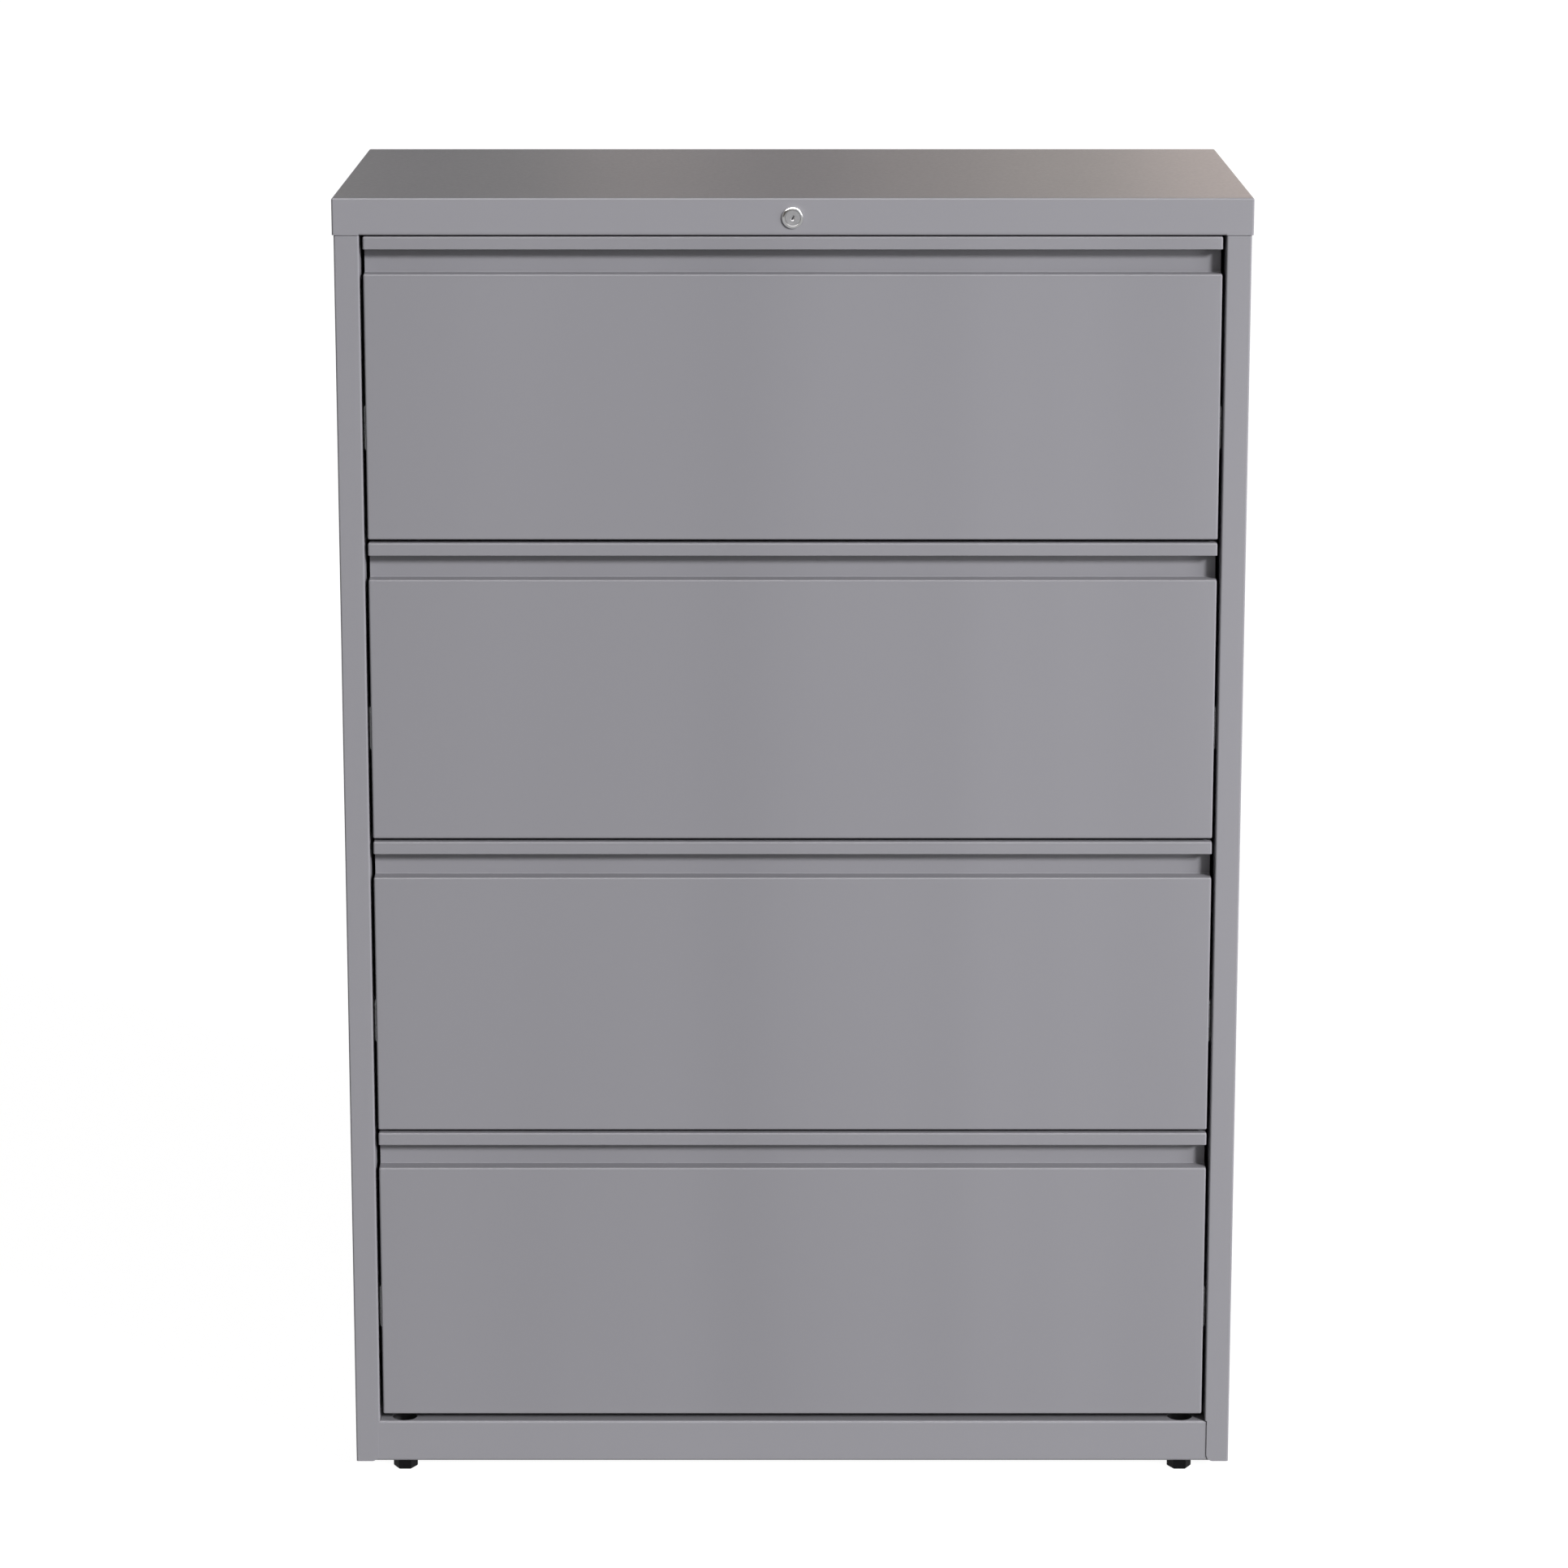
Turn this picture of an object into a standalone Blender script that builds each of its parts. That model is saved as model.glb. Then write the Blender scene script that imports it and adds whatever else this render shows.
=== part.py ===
"""Four-drawer lateral filing cabinet in folded sheet steel.

Units are metres and +Z is up. The origin is at the middle of the cabinet's
footprint on the floor. The drawers face -Y and slide out along -Y.

Each sheet piece is a section, drawn as the centre line of the sheet, that is
given its thickness and its bends and then extruded. Lengths called "behind"
are measured in +Y from the front face of the posts.
"""

import math

import bmesh
import bpy
from mathutils import Matrix, Vector

# Overall size
WIDTH = 0.9144
HEIGHT = 1.3335
DEPTH = 0.473
DRAWER_COUNT = 4

# Sheets, bends and gaps
SHEET = 0.001
CAP_SHEET = 0.0012
SLIDE_SHEET = 0.0012
BEND = 0.0009
SIDE_BEND = 0.00135
BASE_BEND = 0.0018
SLIDE_BEND = 0.0005
BEND_STEPS = 3
GAP = 0.0003
LAP_GAP = 0.00035
SNUG = 0.0004
LOOSE = 0.0006
BEYOND = 0.01

# Top cap and lock
CAP_FLANGE = 0.037
CAP_LIP = 0.010
CAP_LIP_SHORT_BY = 0.020
CHANNEL_BEHIND = 0.0375
CHANNEL_DEPTH = 0.028
CHANNEL_ABOVE_FLANGE = 0.003
LOCK_BELOW_TOP = 0.0195
LOCK_PROUD = 0.0032
BEZEL_RADIUS = 0.011
BEZEL_RIM = 0.0014
BEZEL_EDGE = 0.0012
BARREL_RADIUS = 0.0095
BARREL_LENGTH = 0.024
PLUG_RADIUS = 0.0075
PLUG_SUNK = 0.0004
PLUG_END = 0.0262
KEYWAY = (0.0018, 0.012, 0.0052)
TAIL_SIDE = 0.006
TAIL_END = 0.0293
ROUND_STEPS = 32

# Lock linkage: the cam's pin drives the link sideways and the link drops the bar
CAM_THROW = 0.012
CAM_HUB = 0.007
CAM_TIP = 0.0042
CAM_BEHIND = 0.0265
CAM_SHEET = 0.0022
PIN_RADIUS = 0.002
SLOT_SLACK = 0.0009
LINK_BEHIND = 0.030
LINK_SHEET = 0.002
LINK_BOTTOM = -0.0168
LINK_TOP = -0.002
LINK_END_TOP = 0.015
LINK_PAST_CAM_PIN = 0.012
LINK_PAST_SLOPE = 0.0065
LINK_STEP = 0.009
BAR_DROP = 0.012
BAR_PIN_X = 0.400
BAR_PIN_Z = 0.008
BAR_BEHIND = 0.0324
BAR_SHEET = 0.002
BAR_LEFT = 0.436
BAR_RIGHT = 0.450
BAR_BOTTOM = 0.090
BAR_ARM_HALF = 0.006
BAR_ARM_PAST_PIN = 0.007
CATCH_REACH = 0.0051
CATCH_HEIGHT = 0.012
CATCH_LEVEL = 0.160
CATCH_ROOM = 0.0015
WINDOW_ROOM = 0.0014
WINDOW_FOR_LINK = 0.0035

# Posts, base and feet
POST_WIDTH = 0.02515
POST_RETURN = 0.055
POST_CORNER = 0.007
POST_NOTCH = 0.0022
BODY_BOTTOM = 0.0111
BASE_TOP = 0.0549
BASE_RAIL_DEPTH = 0.045
BASE_RAIL_END = 0.445
BASE_RAIL_FOOT = 0.039
BASE_NOTCH = 0.020
BASE_LIP = 0.015
REAR_FLANGE = 0.018
FOOT_X = 0.4055
FOOT_BEHIND = 0.017
REAR_FOOT_BEHIND = 0.449
FOOT_ACROSS_FLATS = 0.022
FOOT_CHAMFER = 0.0012
STEM_RADIUS = 0.0047
STEM_TOP = 0.040
STEM_HOLE = 0.0053
ACCESS_HOLE = 0.013
WEIGHT_SIZE = (0.700, 0.090, 0.025)
WEIGHT_BEHIND = 0.325

# Drawers: heights are from the lower edge of the drawer front
DRAWER_WIDTH = 0.8538
DRAWER_PITCH = 0.3088
DRAWER_GAP = 0.0035
CAP_TO_DRAWER = 0.0015
PANEL_HEIGHT = 0.2678
PULL_LIP = 0.0126
PULL_DEPTH = 0.018
FRONT_LIP = 0.032
TRAY_HALF = 0.4175
TRAY_BACK = 0.440
TRAY_BOTTOM = 0.015
TRAY_TOP = 0.260
RAIL_SHEET = 0.0015
RAIL_HEIGHT = 0.018
RAIL_RISE = 0.002
RAIL_NOTCH = 0.008
RAIL_NOTCH_HALF = 0.005
RAIL_REACH = 0.4185
RAILS_BEHIND = {"front": 0.040, "rear": 0.427}

# Three-part ball slides: half heights, and the spans across the side gap
SLIDE_LEVEL = 0.110
SLIDE_FRONT = 0.024
SLIDE_BACK = 0.430
MID_INSET = 0.002
OUTER_SECTION = (0.4219, 0.4302, 0.0225)
MID_SECTION = (0.4190, 0.4270, 0.0172)
INNER_SECTION = (0.4178, 0.4249, 0.0120)
UPRIGHT_FRONT = 0.395
UPRIGHT_BACK = 0.431

# Worked out from the sizes above
LAP = CAP_SHEET + LAP_GAP
CAP_FRONT_Y = -(DEPTH + LOCK_PROUD) / 2 + LOCK_PROUD
POST_Y = CAP_FRONT_Y + LAP
BODY_DEPTH = DEPTH - 2 * LAP
BODY_HALF = WIDTH / 2 - LAP
OPENING_HALF = BODY_HALF - POST_WIDTH
BODY_TOP = HEIGHT - CAP_SHEET - GAP
FRONT_HEIGHT = DRAWER_PITCH - DRAWER_GAP
LOCK_Z = HEIGHT - LOCK_BELOW_TOP
SIDES = {"left": -1, "right": 1}

SILVER = (0.28, 0.275, 0.29)


def drawer_bottom(number):
    """Height of the lower edge of a drawer front, counted from 1 at the top."""
    top = HEIGHT - CAP_FLANGE - CAP_TO_DRAWER - (number - 1) * DRAWER_PITCH
    return top - FRONT_HEIGHT


# Scene and materials


def clear_scene():
    for obj in list(bpy.data.objects):
        bpy.data.objects.remove(obj, do_unlink=True)


def material(name, color, roughness, metallic):
    made = bpy.data.materials.new(name)
    made.use_nodes = True
    shader = made.node_tree.nodes["Principled BSDF"]
    shader.inputs["Base Color"].default_value = (*color, 1)
    shader.inputs["Roughness"].default_value = roughness
    shader.inputs["Metallic"].default_value = metallic
    return made


def painted_steel(name):
    return material(name, SILVER, 0.42, 0.0)


def zinc_steel(name):
    return material(name, (0.62, 0.63, 0.64), 0.32, 1.0)


def chrome(name):
    return material(name, (0.80, 0.80, 0.81), 0.12, 1.0)


def black_plastic(name):
    return material(name, (0.012, 0.012, 0.013), 0.45, 0.0)


def raw_steel(name):
    return material(name, (0.16, 0.16, 0.165), 0.60, 0.8)


# Outlines in a plane


def arc(centre, radius, start, end, steps):
    """Points on a circle between two angles, both ends included."""
    angles = [start + (end - start) * i / steps for i in range(steps + 1)]
    return [centre + radius * Vector((math.cos(a), math.sin(a))) for a in angles]


def side_of_sheet(path, offset, bend, steps):
    """The line a signed distance to the left of a centre line, with round bends."""
    path = [Vector(p) for p in path]
    ways = [(b - a).normalized() for a, b in zip(path, path[1:])]
    lefts = [Vector((-w.y, w.x)) for w in ways]
    line = [path[0] + lefts[0] * offset]
    for corner, way, onward, left, next_left in zip(
        path[1:-1], ways, ways[1:], lefts, lefts[1:]
    ):
        turn = way.angle_signed(onward) * -1
        towards = 1 if turn > 0 else -1
        radius = bend - offset * towards
        centre = corner + (left + next_left) * (bend * towards / (1 + left.dot(next_left)))
        begin = math.atan2(-towards * left.y, -towards * left.x)
        line += arc(centre, radius, begin, begin + turn, steps)
    line.append(path[-1] + lefts[-1] * offset)
    return line


def sheet_outline(path, thickness=SHEET, bend=BEND, steps=BEND_STEPS):
    """The closed outline of a bent sheet. Bend is the inside radius."""
    half = thickness / 2
    left = side_of_sheet(path, half, bend + half, steps)
    right = side_of_sheet(path, -half, bend + half, steps)
    return left + right[::-1]


def capsule(start, end, radius, end_radius=None, steps=8):
    """Two round ends joined by their outer tangents."""
    start, end = Vector(start), Vector(end)
    end_radius = radius if end_radius is None else end_radius
    heading = math.atan2(*(end - start).yx)
    lean = math.asin((radius - end_radius) / (end - start).length)
    quarter = math.pi / 2
    tail = arc(start, radius, heading + quarter - lean, heading + 3 * quarter + lean, steps)
    nose = arc(end, end_radius, heading - quarter + lean, heading + quarter - lean, steps)
    return tail + nose


def rectangle(low, high):
    return [(low[0], low[1]), (high[0], low[1]), (high[0], high[1]), (low[0], high[1])]


# Solids


def mesh_of(bm):
    bmesh.ops.recalc_face_normals(bm, faces=bm.faces)
    made = bpy.data.meshes.new("shape")
    bm.to_mesh(made)
    bm.free()
    return made


def prism(outline, axis, low, high):
    """The outline swept along an axis. Its points are the other two axes in order."""
    across = {"X": (1, 2, 0), "Y": (0, 2, 1), "Z": (0, 1, 2)}[axis]
    bm = bmesh.new()
    corners = []
    for point in outline:
        place = [0.0, 0.0, 0.0]
        place[across[0]] = point[0]
        place[across[1]] = point[1]
        place[across[2]] = low
        corners.append(bm.verts.new(place))
    face = bm.faces.new(corners)
    swept = bmesh.ops.extrude_face_region(bm, geom=[face])["geom"]
    step = Vector((0, 0, 0))
    step[across[2]] = high - low
    moved = [g for g in swept if isinstance(g, bmesh.types.BMVert)]
    bmesh.ops.translate(bm, verts=moved, vec=step)
    return mesh_of(bm)


def block(low, high):
    return prism(rectangle(low, high), "Z", low[2], high[2])


def rod(centre, radius, axis, low, high, steps=16):
    ring = arc(Vector(centre), radius, 0, math.tau * (1 - 1 / steps), steps - 1)
    return prism(ring, axis, low, high)


def turned(profile):
    """A profile of (radius, behind) points, closed round a hollow, spun about Y."""
    bm = bmesh.new()
    ring = [bm.verts.new((radius, behind, 0)) for radius, behind in profile]
    edges = [bm.edges.new(pair) for pair in zip(ring, ring[1:] + ring[:1])]
    bmesh.ops.spin(
        bm,
        geom=ring + edges,
        cent=(0, 0, 0),
        axis=(0, 1, 0),
        angle=math.tau,
        steps=ROUND_STEPS,
        use_merge=True,
    )
    bmesh.ops.remove_doubles(bm, verts=bm.verts, dist=1e-6)
    return mesh_of(bm)


def combined(base, others, operation):
    """The mesh with the others joined to it or cut from it."""
    work = bpy.data.objects.new("work", base)
    bpy.context.scene.collection.objects.link(work)
    helpers = []
    for other in others:
        helper = bpy.data.objects.new("helper", other)
        helper.hide_render = True
        helper.display_type = "WIRE"
        bpy.context.scene.collection.objects.link(helper)
        step = work.modifiers.new(operation.lower(), "BOOLEAN")
        step.operation = operation
        step.solver = "EXACT"
        step.object = helper
        helpers.append(helper)
    bpy.context.view_layer.update()
    graph = bpy.context.evaluated_depsgraph_get()
    result = bpy.data.meshes.new_from_object(work.evaluated_get(graph))
    for obj in [work, *helpers]:
        bpy.data.objects.remove(obj, do_unlink=True)
    return result


def joined(base, others):
    return combined(base, others, "UNION")


def cut(base, others):
    return combined(base, others, "DIFFERENCE")


def mirrored(mesh):
    """A copy on the other side of the YZ plane."""
    bm = bmesh.new()
    bm.from_mesh(mesh)
    bmesh.ops.transform(bm, matrix=Matrix.Scale(-1, 4, (1, 0, 0)), verts=bm.verts)
    return mesh_of(bm)


def frame(name, location):
    """An empty that carries the pieces of one moving or fixed group."""
    holder = bpy.data.objects.new(name, None)
    holder.location = location
    bpy.context.scene.collection.objects.link(holder)
    return holder


def add_piece(name, mesh, finish, parent, location=(0, 0, 0)):
    """One named piece, smooth over its bends and sharp at its edges."""
    obj = bpy.data.objects.new(name, mesh)
    bpy.context.scene.collection.objects.link(obj)
    obj.parent = parent
    obj.location = location
    mesh.shade_smooth()
    mesh.set_sharp_from_angle(angle=math.radians(35))
    if not mesh.materials:
        mesh.materials.append(finish)
    return obj


# Cabinet body. Its frame stands at the front face of the posts, on the floor.


def top_cap(body):
    """A folded lid: a top sheet, four flanges, and a stiffening lip at the front."""
    low = Vector((-WIDTH / 2, -LAP, HEIGHT - CAP_FLANGE))
    high = Vector((WIDTH / 2, BODY_DEPTH + LAP, HEIGHT))
    bm = bmesh.new()
    bm.from_mesh(block(low, high))
    upper = [e for e in bm.edges if all(v.co.z > HEIGHT - GAP for v in e.verts)]
    corners = [e for e in bm.edges if abs(e.verts[0].co.z - e.verts[1].co.z) > BEND]
    bmesh.ops.bevel(
        bm,
        geom=upper + corners,
        offset=BEND + CAP_SHEET,
        offset_type="OFFSET",
        segments=BEND_STEPS,
        profile=0.5,
        affect="EDGES",
    )
    hollow = block(
        (low.x + CAP_SHEET, low.y + CAP_SHEET, low.z - BEYOND),
        (high.x - CAP_SHEET, high.y - CAP_SHEET, HEIGHT - CAP_SHEET),
    )
    hole = rod((0, LOCK_Z), BARREL_RADIUS + GAP, "Y", -BEYOND, BEYOND, ROUND_STEPS)
    lip_half = OPENING_HALF - CAP_LIP_SHORT_BY
    lip = block(
        (-lip_half, -LAP + CAP_SHEET / 2, low.z),
        (lip_half, CAP_LIP, low.z + CAP_SHEET),
    )
    shell = joined(cut(mesh_of(bm), [hollow]), [lip])
    add_piece("top_cap", cut(shell, [hole]), painted_steel("cap_paint"), body)


def side_panel(body, side, sign):
    """One sheet: rear flange, side, front face of the post, and the return behind it."""
    half = SHEET / 2
    outer = BODY_HALF - half
    inner = OPENING_HALF + half
    path = [
        (inner, POST_RETURN),
        (inner, half),
        (outer, half),
        (outer, BODY_DEPTH - half),
        (BODY_HALF - REAR_FLANGE, BODY_DEPTH - half),
    ]
    sheet = prism(sheet_outline(path, bend=SIDE_BEND), "Z", BODY_BOTTOM, BODY_TOP)
    edge = OPENING_HALF + POST_NOTCH
    corner = Vector((edge + POST_CORNER, BODY_BOTTOM + POST_CORNER))
    below = arc(corner, POST_CORNER, math.pi, 1.5 * math.pi, 6)
    clear_of_post = OPENING_HALF - BEYOND
    notch = [(clear_of_post, BASE_TOP + GAP), (edge, BASE_TOP + GAP)]
    notch += below + [(corner.x, 0), (clear_of_post, 0)]
    cutters = [prism(notch, "Y", -BEYOND, POST_RETURN + BEYOND)]
    if side == "right":
        cutters += lock_clearances()
    sheet = cut(sheet, cutters)
    if sign < 0:
        sheet = mirrored(sheet)
    add_piece(f"side_panel_{side}", sheet, painted_steel(f"side_{side}_paint"), body)


def lock_clearances():
    """A window for the bar's arm, and a slot beside each drawer for its catch."""
    low_x, high_x = OPENING_HALF - 2 * SHEET, OPENING_HALF + 2 * SHEET
    front = BAR_BEHIND - LAP - WINDOW_ROOM
    back = BAR_BEHIND - LAP + BAR_SHEET + WINDOW_ROOM
    window_front = front - WINDOW_FOR_LINK
    cutters = [block((low_x, window_front, HEIGHT - CAP_FLANGE), (high_x, back, HEIGHT))]
    for number in range(1, DRAWER_COUNT + 1):
        level = drawer_bottom(number) + CATCH_LEVEL
        low = level - CATCH_HEIGHT / 2 - BAR_DROP - CATCH_ROOM
        high = level + CATCH_HEIGHT / 2 + CATCH_ROOM
        cutters.append(block((low_x, front, low), (high_x, back, high)))
    return cutters


def back_panel(body):
    """The rear sheet, inside the rear flanges of the sides."""
    behind = BODY_DEPTH - SHEET - GAP
    half_width = BODY_HALF - SHEET - LOOSE
    sheet = block(
        (-half_width, behind - SHEET, BODY_BOTTOM + SHEET),
        (half_width, behind, BODY_TOP),
    )
    add_piece("back_panel", sheet, painted_steel("back_paint"), body)


def base_front_rail(body):
    """The kick rail: it laps behind the posts and has holes over the front feet."""
    half = SHEET / 2
    front = SHEET + GAP + half
    back = BASE_RAIL_DEPTH - half
    path = [
        (back, BASE_TOP - BASE_LIP),
        (back, BASE_TOP - half),
        (front, BASE_TOP - half),
        (front, BODY_BOTTOM + half),
        (BASE_RAIL_FOOT, BODY_BOTTOM + half),
    ]
    outline = sheet_outline(path, bend=BASE_BEND)
    rail = prism(outline, "X", -BASE_RAIL_END, BASE_RAIL_END)
    cutters = []
    for sign in SIDES.values():
        edges = sorted((sign * (OPENING_HALF - SNUG), sign * (BASE_RAIL_END + BEYOND)))
        low = (edges[0], SHEET + GAP + BASE_BEND + SHEET, BASE_TOP - BASE_NOTCH)
        high = (edges[1], BASE_RAIL_DEPTH + BEYOND, BASE_TOP + BEYOND)
        centre = (sign * FOOT_X, FOOT_BEHIND)
        cutters.append(block(low, high))
        cutters.append(
            rod(centre, ACCESS_HOLE, "Z", BASE_TOP - BEYOND, BASE_TOP + BEYOND, 24)
        )
        cutters.append(rod(centre, STEM_HOLE, "Z", 0, BODY_BOTTOM + BEYOND))
    rail = cut(rail, cutters)
    add_piece("base_front_rail", rail, painted_steel("base_paint"), body)


def base_pan(body):
    """The floor sheet behind the front rail, turned up at the front and the rear."""
    half = SHEET / 2
    front = BASE_RAIL_DEPTH + GAP + half
    back = BODY_DEPTH - 2 * SHEET - 3 * GAP - half
    path = [
        (front, BASE_TOP - BASE_LIP),
        (front, BODY_BOTTOM + half),
        (back, BODY_BOTTOM + half),
        (back, BASE_TOP),
    ]
    half_width = BODY_HALF - SHEET - LOOSE
    pan = prism(sheet_outline(path), "X", -half_width, half_width)
    cutters = []
    for sign in SIDES.values():
        edges = sorted((sign * (OPENING_HALF - SNUG), sign * BODY_HALF))
        low = (edges[0], 0, BODY_BOTTOM - BEYOND)
        high = (edges[1], POST_RETURN + SHEET, BASE_TOP + BEYOND)
        centre = (sign * FOOT_X, REAR_FOOT_BEHIND)
        cutters.append(block(low, high))
        cutters.append(rod(centre, STEM_HOLE, "Z", 0, BODY_BOTTOM + BEYOND))
    add_piece("base_pan", cut(pan, cutters), painted_steel("pan_paint"), body)


def counterweight(body):
    """A steel slab on the pan that keeps the cabinet standing with a drawer out."""
    length, depth, height = WEIGHT_SIZE
    bottom = BODY_BOTTOM + SHEET + GAP
    slab = block(
        (-length / 2, WEIGHT_BEHIND, bottom),
        (length / 2, WEIGHT_BEHIND + depth, bottom + height),
    )
    add_piece("counterweight", slab, raw_steel("slab_steel"), body)


def rear_upright(body, side, sign):
    """A channel that holds the rear ends of the slides."""
    half = SHEET / 2
    edge = BODY_HALF - SHEET - SNUG
    path = [
        (edge, UPRIGHT_BACK - half),
        (OPENING_HALF + half, UPRIGHT_BACK - half),
        (OPENING_HALF + half, UPRIGHT_FRONT + half),
        (edge, UPRIGHT_FRONT + half),
    ]
    bottom = BODY_BOTTOM + SHEET + SNUG
    channel = prism(sheet_outline(path), "Z", bottom, BODY_TOP - SHEET)
    if sign < 0:
        channel = mirrored(channel)
    add_piece(f"rear_upright_{side}", channel, zinc_steel(f"upright_{side}_zinc"), body)


def top_front_channel(body):
    """The cross member behind the lock, between the returns of the posts."""
    half = SHEET / 2
    front, back = CHANNEL_BEHIND, CHANNEL_BEHIND + CHANNEL_DEPTH
    bottom = HEIGHT - CAP_FLANGE + CHANNEL_ABOVE_FLANGE
    path = [
        (back, BODY_TOP - half),
        (front, BODY_TOP - half),
        (front, bottom + half),
        (back, bottom + half),
    ]
    half_length = OPENING_HALF - SNUG
    channel = prism(sheet_outline(path), "X", -half_length, half_length)
    add_piece("top_front_channel", channel, zinc_steel("channel_zinc"), body)


def leveller(corner, place):
    """A hexagonal foot on a threaded stem, with its origin on the stem's axis."""
    reach = FOOT_ACROSS_FLATS / math.sqrt(3)
    bm = bmesh.new()
    ring = arc(Vector((0, 0)), reach, 0, math.tau * 5 / 6, 5)
    bm.from_mesh(prism(ring, "Z", 0, BODY_BOTTOM - GAP))
    lowest = [e for e in bm.edges if all(v.co.z < GAP for v in e.verts)]
    bmesh.ops.bevel(bm, geom=lowest, offset=FOOT_CHAMFER, segments=1, affect="EDGES")
    stem = rod((0, 0), STEM_RADIUS, "Z", BODY_BOTTOM / 2, STEM_TOP)
    foot = joined(mesh_of(bm), [stem])
    axis = frame(f"leveller_{corner}_axis", place)
    add_piece(f"leveller_{corner}", foot, black_plastic(f"foot_{corner}_black"), axis)


def levellers():
    rows = {"front": FOOT_BEHIND, "rear": REAR_FOOT_BEHIND}
    for row, behind in rows.items():
        for side, sign in SIDES.items():
            leveller(f"{row}_{side}", (sign * FOOT_X, POST_Y + behind, 0))


# Lock. Its frame is on the plug's axis, at the front face of the cap.


def lock_housing(lock):
    """The barrel through the cap, with a bezel whose rim slopes back to its edge."""
    bore = PLUG_RADIUS + GAP
    profile = [
        (bore, LOOSE - LOCK_PROUD),
        (bore + LOOSE, -LOCK_PROUD),
        (bore + BEZEL_RIM, -LOCK_PROUD),
        (BEZEL_RADIUS, -BEZEL_EDGE),
        (BEZEL_RADIUS, -GAP),
        (BARREL_RADIUS, -GAP),
        (BARREL_RADIUS, BARREL_LENGTH),
        (bore, BARREL_LENGTH),
    ]
    add_piece("lock_housing", turned(profile), chrome("housing_chrome"), lock)


def lock_plug(lock):
    """The part that the key turns: a cylinder with a keyway and a square tail."""
    front = PLUG_SUNK - LOCK_PROUD
    plug = rod((0, 0), PLUG_RADIUS, "Y", front, PLUG_END, ROUND_STEPS)
    half = TAIL_SIDE / 2
    tail = block((-half, PLUG_END - SHEET, -half), (half, TAIL_END, half))
    width, depth, height = KEYWAY
    keyway = block((-width / 2, -BEYOND, -height / 2), (width / 2, depth, height / 2))
    add_piece("lock_plug", cut(joined(plug, [tail]), [keyway]), chrome("plug_chrome"), lock)


def lock_cam(lock):
    """A lever on the plug's tail. Its pin swings from lower right to lower left."""
    pin_at = Vector((1, -1)).normalized() * CAM_THROW
    lever = capsule((0, 0), pin_at, CAM_HUB, CAM_TIP)
    plate = prism(lever, "Y", CAM_BEHIND, CAM_BEHIND + CAM_SHEET)
    pin = rod(pin_at, PIN_RADIUS, "Y", CAM_BEHIND + CAM_SHEET / 2, LINK_BEHIND + LINK_SHEET)
    half = TAIL_SIDE / 2 + GAP
    square = block((-half, 0, -half), (half, DEPTH, half))
    add_piece("lock_cam", cut(joined(plate, [pin]), [square]), zinc_steel("cam_zinc"), lock)


def lock_link(lock):
    """A flat bar from the cam to the right post, with an upright and a sloping slot."""
    pin_x = CAM_THROW / math.sqrt(2)
    travel = 2 * pin_x
    left = pin_x - LINK_PAST_CAM_PIN
    right = BAR_PIN_X + travel + LINK_PAST_SLOPE
    step = BAR_PIN_X - LINK_STEP
    outline = [
        (left, LINK_BOTTOM),
        (right, LINK_BOTTOM),
        (right, LINK_END_TOP),
        (step, LINK_END_TOP),
        (step, LINK_TOP),
        (left, LINK_TOP),
    ]
    bar = prism(outline, "Y", LINK_BEHIND, LINK_BEHIND + LINK_SHEET)
    reach = PIN_RADIUS + SLOT_SLACK
    low, high = (pin_x - reach, -CAM_THROW - reach), (pin_x + reach, reach - pin_x)
    upright = prism(rectangle(low, high), "Y", 0, DEPTH)
    start, end = (BAR_PIN_X, BAR_PIN_Z), (BAR_PIN_X + travel, BAR_PIN_Z - BAR_DROP)
    slope = prism(capsule(start, end, PIN_RADIUS + LOOSE), "Y", 0, DEPTH)
    bar = cut(bar, [upright, slope])
    add_piece("lock_link", bar, zinc_steel("link_zinc"), lock)


def lock_bar(lock):
    """The bar inside the right post, with an arm to the link and a catch per drawer."""
    top = BAR_PIN_Z + BAR_ARM_HALF
    arm_left = BAR_PIN_X - BAR_ARM_PAST_PIN
    outline = [
        (BAR_LEFT, BAR_BOTTOM - LOCK_Z),
        (BAR_RIGHT, BAR_BOTTOM - LOCK_Z),
        (BAR_RIGHT, top),
        (arm_left, top),
        (arm_left, BAR_PIN_Z - BAR_ARM_HALF),
        (BAR_LEFT, BAR_PIN_Z - BAR_ARM_HALF),
    ]
    for number in range(1, DRAWER_COUNT + 1):
        level = drawer_bottom(number) + CATCH_LEVEL - LOCK_Z
        upper, lower = level + CATCH_HEIGHT / 2, level - CATCH_HEIGHT / 2
        reach = BAR_LEFT - CATCH_REACH
        outline += [(BAR_LEFT, upper), (reach, upper), (reach, lower), (BAR_LEFT, lower)]
    bar = prism(outline, "Y", BAR_BEHIND, BAR_BEHIND + BAR_SHEET)
    at, front = (BAR_PIN_X, BAR_PIN_Z), LINK_BEHIND - SNUG
    pin = rod(at, PIN_RADIUS, "Y", front, BAR_BEHIND + BAR_SHEET / 2)
    add_piece("lock_bar", joined(bar, [pin]), zinc_steel("bar_zinc"), lock)


# Drawers. A drawer's frame is at the middle of the lower edge of its front.


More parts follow.
